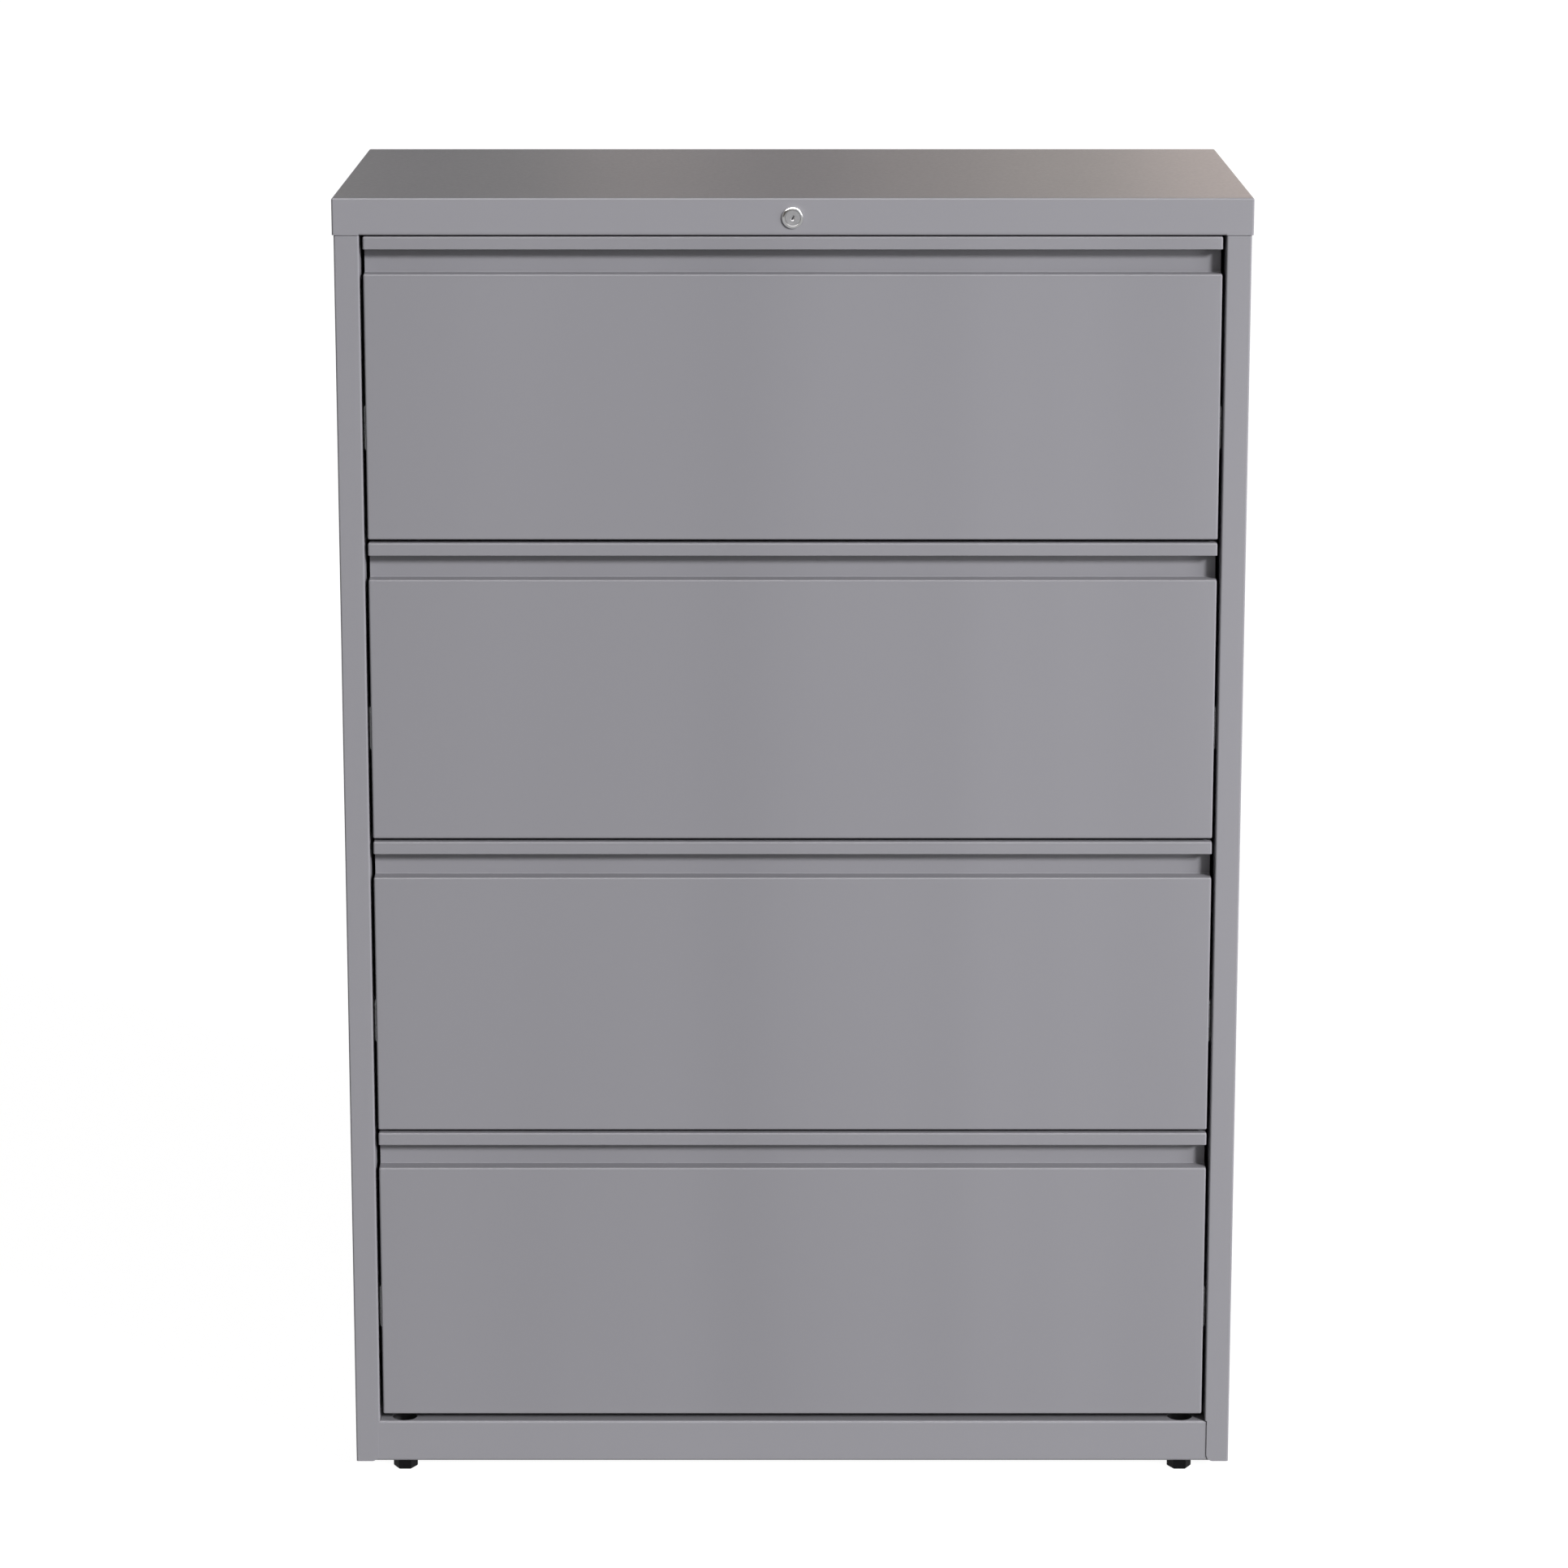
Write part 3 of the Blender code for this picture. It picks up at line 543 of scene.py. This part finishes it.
def side_shells():
    """Each side with its front post, and the screws of its rear flange."""
    low, high = SIDE
    count, margin = 6, 0.06
    for side in SIDES:
        cutters = [post_notch(low)]
        if side == "right":
            cutters += catch_slots(low)
        mesh = folded(side_faces(low, high), cutters=cutters)
        mesh = mirrored(mesh) if side == "left" else mesh
        piece(f"side_shell_{side}", mesh, "cabinet", "body_paint", [f"side_panel_{side}"])
    heads = []
    for sign in SIDES.values():
        for i in range(count):
            z = low.z + margin + i * (high.z - low.z - 2 * margin) / (count - 1)
            heads.append(placed(SCREW, (sign * (high.x - FLANGE / 2), high.y, z), "+Y"))
    piece("rear_flange_screws", together(heads), "cabinet", "zinc_steel")


def back_sheet():
    """A flat sheet with pressed beads across it."""
    low, high = BACK
    count, reach = 4, 0.38
    sheet = soft(block(low, high))
    beads = []
    for i in range(count):
        z = low.z + (i + 0.5) * (high.z - low.z) / count
        beads.append(bead((-reach, high.y, z), (reach, high.y, z), 0.010, 0.0022, "+Y"))
    piece("back_sheet", together([sheet, *beads]), "cabinet", "body_paint", ["back_panel"])


def base_rail():
    """The kick rail, notched round the posts, with access holes over the feet."""
    low, high = RAIL
    opening = OPENING - 0.0004
    notch = high.z - 0.0205
    hem, shorter = 0.015, 0.006
    access, stem_hole = 0.013, 0.0053
    behind = low.y + SHEET + BASE_BEND + GAP
    faces = [
        rect("-Y", low.y, (low.x, high.x), (low.z, high.z)),
        rect("+Z", high.z, (low.x, high.x), (low.y, high.y)),
        rect("+Y", high.y, (low.x, high.x), (high.z - hem, high.z)),
        rect("-Z", low.z, (low.x, high.x), (low.y, high.y - shorter)),
    ]
    cutters = []
    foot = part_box("leveller_front_right")
    centre = (foot[0] + foot[1]) / 2
    for sign in SIDES.values():
        edges = sorted((sign * opening, sign * (high.x + PAST)))
        cutters.append(block((edges[0], behind, notch), (edges[1], high.y + PAST, SKY)))
        spot = (sign * centre.x, centre.y)
        cutters.append(rod(spot, access, "Z", high.z - PAST, high.z + PAST, 48))
        cutters.append(rod(spot, stem_hole, "Z", low.z - PAST, low.z + PAST, 32))
    mesh = folded(faces, SHEET, BASE_BEND, cutters, 8)
    piece("base_rail", mesh, "cabinet", "body_paint", ["base_front_rail"])


def uprights():
    """Two slotted channels at the back, which carry the slides."""
    low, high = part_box("rear_upright_right")
    tall = (low.z, high.z)
    faces = [
        rect("-X", low.x, (low.y, high.y), tall),
        rect("-Y", low.y, (low.x, high.x), tall),
        rect("+Y", high.y, (low.x, high.x), tall),
    ]
    count, pitch, length = 32, 0.040, 0.014
    row, half_width = 0.008, 0.0016
    middle = (low.y + high.y) / 2
    near, far = low.x - THROUGH, low.x + THROUGH
    slots = []
    for i in range(count):
        z = low.z + 0.04 + i * pitch
        for y in (middle - row, middle + row):
            slots.append(block((near, y - half_width, z), (far, y + half_width, z + length)))
    right = folded(faces, cutters=slots, steps=4)
    for side in SIDES:
        mesh = mirrored(right) if side == "left" else right
        piece(f"upright_{side}", mesh, "cabinet", "zinc_steel", [f"rear_upright_{side}"])


def cross_channel():
    low, high = CHANNEL
    wide = (low.x, high.x)
    faces = [
        rect("-Y", low.y, wide, (low.z, high.z)),
        rect("+Z", high.z, wide, (low.y, high.y)),
        rect("-Z", low.z, wide, (low.y, high.y)),
    ]
    mesh = folded(faces, steps=4)
    piece("cross_channel", mesh, "cabinet", "zinc_steel", ["top_front_channel"])


# Drawers: made at the middle of the lower edge of the front, then put in place


def drawer_face():
    """One sheet: the panel, its returns, the recess above it and the strip over that."""
    low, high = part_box("drawer_1_front")
    wide, height, deep = high.x, high.z - low.z, high.y - low.y
    pull, lip_end, hem = 0.2678, 0.0126, 0.032
    step, trim, tuck = 0.0025, 0.0004, 0.0021
    back = deep - SHEET
    notch, narrow = back - step, wide - trim
    inner, inset = wide - SHEET, wide - tuck
    under, shoulder = height - SHEET, height - SHEET - step
    pull_back = [(-narrow, pull), (narrow, pull), (narrow, shoulder), (inset, shoulder),
                 (inset, under), (-inset, under), (-inset, shoulder), (-narrow, shoulder)]
    faces = [
        rect("-Y", 0, (-wide, wide), (0, pull)),
        rect("-Z", 0, (-wide, wide), (0, notch)),
        rect("-Z", 0, (-narrow, narrow), (notch, deep)),
        rect("+Y", deep, (-narrow, narrow), (0, hem)),
        rect("+Z", pull, (-wide, wide), (0, notch)),
        rect("+Z", pull, (-narrow, narrow), (notch, back)),
        [Vector((x, back, z)) for x, z in pull_back],
        rect("-Z", under, (-inset, inset), (notch, back)),
        rect("-Z", under, (-inner, inner), (SHEET, notch)),
        rect("+Y", SHEET, (-inner, inner), (height - lip_end, under)),
    ]
    for sign in SIDES.values():
        out, back_in = ("+X", "-X") if sign > 0 else ("-X", "+X")
        faces.append(rect(out, sign * wide, (0, notch), (0, pull)))
        faces.append(rect(back_in, sign * inner, (SHEET, notch), (height - lip_end, under)))
    return folded(faces)


def tray_box():
    """The first tray, measured from the middle of the lower edge of its front."""
    low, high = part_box("drawer_1_tray")
    origin = Vector((0, FRONT_Y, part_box("drawer_1_front")[0].z))
    return low - origin, high - origin, origin


def drawer_tray():
    """A folded tray with a beaded floor, hemmed walls and notches for the hanging rails."""
    low, high, _ = tray_box()
    wide, deep, tall = (low.x, high.x), (low.y, high.y), (low.z, high.z)
    faces = [
        rect("-Z", low.z, wide, deep),
        rect("-Y", low.y, wide, tall),
        rect("+Y", high.y, wide, tall),
        rect("-X", low.x, deep, tall),
        rect("+X", high.x, deep, tall),
    ]
    cutters = []
    wall, notch = 0.005, 0.008
    for row in ("front", "rear"):
        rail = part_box(f"drawer_1_{row}_hang_rail")
        near, far = rail[0].y - FRONT_Y - GAP, rail[1].y - FRONT_Y + GAP
        for sign in SIDES.values():
            edges = sorted((sign * (high.x - wall), sign * (high.x + wall)))
            cutters.append(block((edges[0], near, high.z - notch), (edges[1], far, SKY)))
    floor_z = low.z + SHEET
    parts = [folded(faces, cutters=cutters, steps=5)]
    start, end = low.y + 0.06, high.y - 0.06
    for i in range(5):
        x = -0.30 + 0.15 * i
        parts.append(bead((x, start, floor_z), (x, end, floor_z), 0.008, 0.0016, "+Z"))
    hem, inset = high.z - 0.010, 0.006
    for y in (low.y + SHEET, high.y - 2 * SHEET):
        flap = block((low.x + inset, y, hem), (high.x - inset, y + SHEET, high.z))
        parts.append(soft(flap, 0.0004, 3))
    start, end = low.y + 0.035, high.y - 0.026
    for sign in SIDES.values():
        edges = sorted((sign * (high.x - 2 * SHEET), sign * (high.x - SHEET)))
        flap = block((edges[0], start, hem), (edges[1], end, high.z))
        parts.append(soft(flap, 0.0004, 3))
    return together(parts)


def tray_fasteners():
    """Screws that hold the front, and rivets that hold the slides, seen from inside."""
    low, high, origin = tray_box()
    margin = 0.05
    heads = []
    for x in (-0.36, -0.12, 0.12, 0.36):
        for z in (low.z + margin, high.z - margin):
            heads.append(placed(SCREW, (x, low.y + SHEET, z), "+Y"))
    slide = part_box("drawer_1_slide_inner_right")
    level = (slide[0].z + slide[1].z) / 2 - origin.z
    for sign, facing in ((1, "-X"), (-1, "+X")):
        for y in (0.06, 0.15, 0.30, 0.40):
            heads.append(placed(RIVET, (sign * (high.x - SHEET), y, level), facing))
    return together(heads)


def slide_mesh(part, lip):
    """A right-hand slide member: a web, round raceways, and flanges with lips at their tips."""
    low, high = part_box(f"drawer_1_slide_{part}_right")
    level, half = (low.z + high.z) / 2, (high.z - low.z) / 2
    radius, lip_width = 0.0022, 0.0010
    web, tip, way = (low.x, high.x, 1) if part == "inner" else (high.x, low.x, -1)
    centre = (web + way * radius, half - radius)
    quarter = [i * math.pi / 10 for i in range(6)]

    def raceway(reach):
        return [(centre[0] - way * reach * math.cos(a), centre[1] + reach * math.sin(a))
                for a in quarter]

    under = half - SLIDE_WALL
    upper = raceway(radius)
    upper += [(tip, half), (tip, under - lip), (tip - way * lip_width, under - lip),
              (tip - way * lip_width, under)]
    upper += raceway(radius - SLIDE_WALL)[::-1]
    lower = [(x, -z) for x, z in upper[::-1]]
    mesh = prism([(x, z + level) for x, z in upper + lower], "Y", low.y, high.y)

    near, far = low.x - THROUGH, high.x + THROUGH
    if part == "mid":
        long, tall = 0.012, 0.006
        spots = [low.y + y for y in (0.03, 0.20, 0.37)]
        holes = [block((near, y - long, level - tall), (far, y + long, level + tall))
                 for y in spots]
    else:
        spots = [low.y + y for y in (0.03, 0.10, 0.20, 0.30, 0.37)]
        holes = [rod((y, level), 0.0024, "X", near, far, 20) for y in spots]
    return with_steps(mesh, [cutting(holes), rounding(0.00015, 2, 40)])


def ball_cages():
    """Four rows of balls in flat cages, all of which ride on the middle member."""
    boxes = {part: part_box(f"drawer_1_slide_{part}_right") for part in ("outer", "mid", "inner")}
    half = {part: (high.z - low.z) / 2 for part, (low, high) in boxes.items()}
    outer, mid, inner = boxes.values()
    level = (mid[0].z + mid[1].z) / 2
    pitch, play = 0.0145, 0.00012
    side, end, thin = 0.0026, 0.006, 0.0003
    rows = [
        ((outer[0].x + mid[1].x) / 2, half["mid"], half["outer"] - SLIDE_WALL,
         mid[0].y + 0.22, 13),
        ((mid[0].x + inner[1].x) / 2, half["inner"], half["mid"] - SLIDE_WALL,
         mid[0].y + 0.02, 11),
    ]
    balls, cages = [], []
    for x, under, over, start, count in rows:
        radius = (over - under) / 2 - play
        ball = bmesh.new()
        bmesh.ops.create_uvsphere(ball, u_segments=16, v_segments=10, radius=radius)
        ball = mesh_of(ball)
        spots = [start + pitch * i for i in range(count)]
        length = pitch * (count - 1)
        for sign in (1, -1):
            z = level + sign * (under + over) / 2
            holes = [rod((x, y), radius * 0.99, "Z", z - PAST, z + PAST, 16) for y in spots]
            strip = block((x - side, start - end, z - thin),
                          (x + side, start + length + end, z + thin))
            cages.append(with_steps(strip, [cutting(holes)]))
            balls += [placed(ball, (x, y, z)) for y in spots]
    return together(balls), together(cages)


def drawers():
    """Four of the same, with the slides that carry them."""
    face, tray, fasteners = drawer_face(), drawer_tray(), tray_fasteners()
    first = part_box("drawer_1_front")[0].z
    lips = {"inner": 0.0, "mid": 0.0006, "outer": 0.0010}
    right = {part: slide_mesh(part, lip) for part, lip in lips.items()}
    left = {part: mirrored(mesh) for part, mesh in right.items()}
    slides = {"right": right, "left": left}
    balls, cages = ball_cages()
    bearings = {"right": (balls, cages), "left": (mirrored(balls), mirrored(cages))}
    for number in DRAWERS:
        name = f"drawer_{number}"
        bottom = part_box(f"{name}_front")[0].z
        place = (0, FRONT_Y, bottom)
        piece(f"{name}_face", face, name, "drawer_paint", [f"{name}_front"], place)
        piece(f"{name}_body", tray, name, "inner_paint", [f"{name}_tray"], place)
        piece(f"{name}_fasteners", fasteners, name, "zinc_steel", (), place)
        for row in ("front", "rear"):
            finish_node(f"{name}_{row}_hang_rail", "zinc_steel")
        drop = (0, 0, bottom - first)
        riders = {"inner": name, "mid": f"slides_{number}", "outer": "cabinet"}
        for side in SIDES:
            for part, body in riders.items():
                node = f"{name}_slide_{part}_{side}"
                member = f"{name}_{part}_member_{side}"
                piece(member, slides[side][part], body, "slide_steel", [node], drop)
            for kind, mesh in zip(("balls", "cages"), bearings[side]):
                piece(f"{name}_{kind}_{side}", mesh, f"slides_{number}", "slide_steel", (), drop)


# Lock


def lock():
    """A domed bezel round a plug with a scoop and a stepped keyway, and what hangs behind."""
    front = CAP[0].y
    at_lock = (0, front, LOCK_Z)
    low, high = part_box("lock_housing")
    proud, depth = front - low.y, high.y - front
    bore, rim = 0.0078, 0.0110
    edge, foot, barrel = 0.0002, 0.0008, 0.0095
    dome = [(bore, depth), (bore, edge - proud)]
    for i in range(13):
        turn = math.radians(7.5 * i)
        spread, drop = rim - bore - edge, proud - foot
        dome.append((bore + edge + spread * math.sin(turn), -foot - drop * math.cos(turn)))
    dome += [(rim, -0.0001), (barrel, -0.0001), (barrel, depth), (bore, depth)]
    bezel = placed(turned(dome, 96), at_lock, "+Y")
    piece("lock_bezel", bezel, "cabinet", "lock_chrome", ["lock_housing"])

    radius, head, face, end = 0.0075, bore - 0.0001, 0.0004 - proud, 0.0253
    core = [(0, end), (radius, end), (radius, face + 0.0024), (head, face + 0.0022),
            (head, face + 0.0003), (head - 0.0002, face), (0, face)]
    core = placed(turned(core, 96), at_lock, "+Y")
    scoop = turned([(0, 0.0009), (0.0012, 0.0008), (0.0022, 0.0004), (0.0028, -0.0001),
                    (0.0030, -0.0010), (0, -0.0010)], 48)
    scoop.transform(Matrix.Diagonal((0.80, 1.25, 1, 1)))
    mouth, bottom = -0.002, 0.0145
    key = [block((-0.0005, -0.0026, mouth), (0.0009, 0.0006, bottom)),
           block((-0.0009, -0.0002, mouth), (0.0004, 0.0026, bottom))]
    slant = Matrix.Rotation(math.radians(16), 4, "Z")
    cutters = []
    for shape in (scoop, *key):
        shape.transform(slant)
        cutters.append(placed(shape, (0, front + face, LOCK_Z), "+Y"))
    core = with_steps(core, [cutting([c]) for c in cutters] + [rounding(0.0001, 2, 40)])
    half, tail_end = 0.003, 0.0293
    tail = block((-half, front + end, LOCK_Z - half), (half, front + tail_end, LOCK_Z + half))
    core = together([core, soft(tail)])
    piece("lock_core", core, "lock_cylinder", "lock_chrome", ["lock_plug"], finish="lock_satin")
    for name in ("lock_cam", "lock_link", "lock_bar"):
        finish_node(name, "zinc_steel")
    nut = [(0, 0.0010), (0.0022, 0.0010), (0.0030, 0.0004), (0.0030, 0), (0, 0)]
    screw = placed(turned(nut, 24), (0, front + 0.0289, LOCK_Z), "+Y")
    piece("lock_cam_screw", screw, "lock_cylinder", "zinc_steel")


# Feet


def thread(radius, depth, low, high, pitch=0.00125):
    """A helical thread, as a surface whose radius follows the helix."""
    steps, rows_a_turn = 28, 6
    rows = int((high - low) / pitch * rows_a_turn)
    bm = bmesh.new()
    grid = []
    for row in range(rows + 1):
        z = low + (high - low) * row / rows
        ring = []
        for i in range(steps):
            share = (z / pitch - i / steps) % 1.0
            r = radius - depth * (1 - abs(2 * share - 1))
            a = math.tau * i / steps
            ring.append(bm.verts.new((r * math.cos(a), r * math.sin(a), z)))
        grid.append(ring)
    for a, b in zip(grid, grid[1:]):
        for i in range(steps):
            j = (i + 1) % steps
            bm.faces.new((a[i], a[j], b[j], b[i]))
    bm.faces.new(grid[-1])
    bm.faces.new(grid[0][::-1])
    return mesh_of(bm)


def feet():
    """Four glides, each with a threaded stem that starts inside it."""
    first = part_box("leveller_front_right")
    top, stem_radius, thread_depth = 0.0108, 0.0047, 0.0007
    stem = thread(stem_radius, thread_depth, top * 0.6, first[1].z)
    for row in ("front", "rear"):
        for side in SIDES:
            corner = f"{row}_{side}"
            low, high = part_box(f"leveller_{corner}")
            centre = (low + high) / 2
            place = (centre.x, centre.y, 0)
            body = f"leveller_{corner}"
            glide = glide_mesh(low, high, top)
            piece(f"glide_{corner}", glide, body, "foot_black", [body], place)
            piece(f"stem_{corner}", stem, body, "zinc_steel", (), place)


def glide_mesh(low, high, top):
    """A hexagonal foot with a chamfered sole that is hollow in the middle."""
    flat = (high.y - low.y) / 2
    corner = flat / math.cos(math.pi / 6)
    chamfer = 0.0012
    bm = bmesh.new()
    rings = []
    for reach, z in ((corner - chamfer, 0), (corner, chamfer), (corner, top)):
        turns = [i * math.pi / 3 for i in range(6)]
        spots = [(reach * math.cos(t), reach * math.sin(t), z) for t in turns]
        rings.append([bm.verts.new(spot) for spot in spots])
    for a, b in zip(rings, rings[1:]):
        for i in range(6):
            j = (i + 1) % 6
            bm.faces.new((a[i], a[j], b[j], b[i]))
    bm.faces.new(rings[0][::-1])
    bm.faces.new(rings[-1])
    hollow = turned([(0, 0.0007), (0.0060, 0.0007), (0.0066, -0.001), (0, -0.001)], 48)
    return with_steps(mesh_of(bm), [cutting([hollow]), rounding(0.00025, 3, 25)])


# Studio: every lamp is kept out of reflections, and cards and the room stand in there


def towards(azimuth, elevation):
    """The direction of a place seen from the cabinet; azimuth 0 is straight in front."""
    around, up = math.radians(azimuth), math.radians(elevation)
    return Vector((math.sin(around) * math.cos(up), -math.cos(around) * math.cos(up),
                   math.sin(up)))


KEY_WAY = towards(40.5, 22.9)
STUDIO_MIDDLE = Vector((0, 0, 0.7))


def lamp(kind, name, way, distance, energy, **settings):
    data = bpy.data.lights.new(name, kind)
    data.energy = energy
    for key, value in settings.items():
        setattr(data, key, value)
    obj = bpy.data.objects.new(name, data)
    bpy.context.scene.collection.objects.link(obj)
    obj.location = STUDIO_MIDDLE + way * distance
    obj.rotation_mode = "QUATERNION"
    obj.rotation_quaternion = way.to_track_quat("Z", "Y")
    obj.visible_camera = obj.visible_glossy = False


def lamps():
    """A key from the front right, a broad low halo near it, a rear light and a near fill."""
    sun = 8
    lamp("SUN", "key", KEY_WAY, sun, 3.02, angle=math.radians(10))
    lamp("SUN", "halo", towards(43, 4), sun, 0.90, angle=math.radians(65))
    lamp("SUN", "rear", towards(212, 3), sun, 2.7, angle=math.radians(25))
    lamp("AREA", "right_fill", towards(58, 5), 1.6, 5.0, shape="RECTANGLE", size=0.3,
         size_y=1.3)


def card(name, size, place, way, color):
    """An emitting card that only reflections see. Its color is made from (nodes, its x)."""
    x, y = size[0] / 2, size[1] / 2
    mesh = bpy.data.meshes.new(name)
    mesh.from_pydata([(-x, -y, 0), (x, -y, 0), (x, y, 0), (-x, y, 0)], [], [(0, 1, 2, 3)])
    nodes = Nodes(bpy.data.materials.new(name))
    nodes.tree.nodes.clear()
    where = nodes.parts(nodes.add("TexCoord", out="Object"))
    glow = nodes.add("Emission", {"Color": color(nodes, where["X"])})
    nodes.add("OutputMaterial", {"Surface": glow})
    mesh.materials.append(nodes.owner)
    obj = bpy.data.objects.new(name, mesh)
    bpy.context.scene.collection.objects.link(obj)
    obj.location = place
    obj.rotation_mode = "QUATERNION"
    obj.rotation_quaternion = Vector(way).to_track_quat("Z", "Y")
    obj.visible_camera = obj.visible_diffuse = obj.visible_shadow = False


def warm_bands(nodes, x):
    """Seen in the top sheet: warm bands, dim on the left and bright on the right."""
    across = nodes.ranged(x, -0.62, 0.62, 0, 1)
    return nodes.ramp(across, [
        (0.03, (0.16, 0.15, 0.11)), (0.13, (0.05, 0.046, 0.02)), (0.22, (0.09, 0.085, 0.05)),
        (0.35, (0.30, 0.25, 0.20)), (0.50, (0.14, 0.112, 0.075)), (0.62, (0.32, 0.26, 0.20)),
        (0.76, (0.55, 0.47, 0.38)), (0.95, (1.20, 0.98, 0.84)),
    ], smooth=True)


def even_white(nodes, x):
    """A softbox, slightly brighter at one end."""
    across = nodes.ranged(x, -1.3, 1.3, 0, 1)
    return nodes.ramp(across, [(0.0, (2.6, 2.6, 2.6)), (1.0, (3.4, 3.4, 3.4))])


def cards():
    """What the top sheet reflects from behind, and a softbox where the key is."""
    card("top_card", (2.6, 0.9), (0, 0.80, 1.76), (0, -1, 0), warm_bands)
    card("softbox", (2.4, 2.4), STUDIO_MIDDLE + KEY_WAY * 6, -KEY_WAY, even_white)


def floor():
    """A floor that is nearly white to the eye, grey in gloss, and dull in its light."""
    reach = 30
    nodes = Nodes(bpy.data.materials.new("floor"))
    nodes.tree.nodes.clear()
    glow = nodes.add("Emission", {"Strength": 0.96})
    shade = nodes.add("BsdfDiffuse", {"Color": (0.20, 0.20, 0.20, 1)})
    pale = nodes.add("AddShader", {0: glow, 1: shade})
    dull = nodes.add("BsdfDiffuse", {"Color": (0.30, 0.30, 0.30, 1)})
    grey = nodes.add("Emission", {"Strength": 0.45})
    glossy = nodes.add("LightPath", out="Is Glossy Ray")
    camera_ray = nodes.add("LightPath", out="Is Camera Ray")
    bounced = nodes.add("MixShader", {0: glossy, 1: dull, 2: grey})
    mixed = nodes.add("MixShader", {0: camera_ray, 1: bounced, 2: pale})
    nodes.add("OutputMaterial", {"Surface": mixed})
    mesh = bpy.data.meshes.new("floor")
    corners = [(-reach, -reach, 0), (reach, -reach, 0), (reach, reach, 0), (-reach, reach, 0)]
    mesh.from_pydata(corners, [], [(0, 1, 2, 3)])
    mesh.materials.append(nodes.owner)
    obj = bpy.data.objects.new("floor", mesh)
    bpy.context.scene.collection.objects.link(obj)


def room():
    """White to the eye and dim in its light.

    In gloss it has a bright ceiling in front, a pale right wall, and a dim rear.
    """
    nodes = Nodes(bpy.data.worlds.new("room"))
    bpy.context.scene.world = nodes.owner
    nodes.tree.nodes.clear()
    way = nodes.parts(nodes.add("TexCoord", out="Generated"))
    walls = nodes.ramp(nodes.ranged(way["X"], -1, 1, 0, 1), [
        (0.0, (0.30, 0.28, 0.26)), (0.22, (0.06, 0.055, 0.05)), (0.40, (0.22, 0.21, 0.20)),
        (0.60, (0.40, 0.40, 0.41)), (1.0, (0.85, 0.85, 0.87))], smooth=True)
    front = nodes.ranged(way["Y"], -0.25, 0.25, 1, 0)
    ceiling = nodes.add("Math", {0: nodes.ranged(way["Z"], 0.55, 0.75, 0, 1), 1: front},
                        operation="MULTIPLY")
    above = nodes.add("Mix", {0: ceiling, 6: walls, 7: (5.0, 4.9, 4.8, 1)}, out=2,
                      data_type="RGBA")
    behind = nodes.ranged(way["Y"], -0.25, 0.25, 1, 0.22)
    seen = nodes.add("Background", {"Color": above, "Strength": behind})
    lit = nodes.add("Background", {"Color": (1.0, 0.97, 0.92, 1), "Strength": 0.11})
    white = nodes.add("Background", {"Color": (1, 1, 1, 1)})
    glossy = nodes.add("LightPath", out="Is Glossy Ray")
    camera_ray = nodes.add("LightPath", out="Is Camera Ray")
    bounced = nodes.add("MixShader", {0: glossy, 1: lit, 2: seen})
    mixed = nodes.add("MixShader", {0: camera_ray, 1: bounced, 2: white})
    nodes.add("OutputWorld", {"Surface": mixed})


def camera():
    """Five metres in front of the cap and half a metre above it, with a long lens."""
    distance, tilt = 5.0, math.radians(12.35)
    data = bpy.data.cameras.new("camera")
    data.sensor_width, data.lens, data.shift_y = 36, 116.1, -0.038
    data.clip_end = 100
    obj = bpy.data.objects.new("camera", data)
    bpy.context.scene.collection.objects.link(obj)
    obj.location = (-0.0087, CAP[0].y - distance, 1.895)
    obj.rotation_euler = (math.pi / 2 - tilt, 0, 0)
    bpy.context.scene.camera = obj
    bpy.context.scene.view_settings.view_transform = "Standard"


def main():
    cap_shell()
    side_shells()
    back_sheet()
    base_rail()
    uprights()
    cross_channel()
    finish_node("base_pan", "inner_paint")
    finish_node("counterweight", "slab_steel", 0.0008)
    drawers()
    lock()
    feet()
    floor()
    room()
    lamps()
    cards()
    camera()


main()
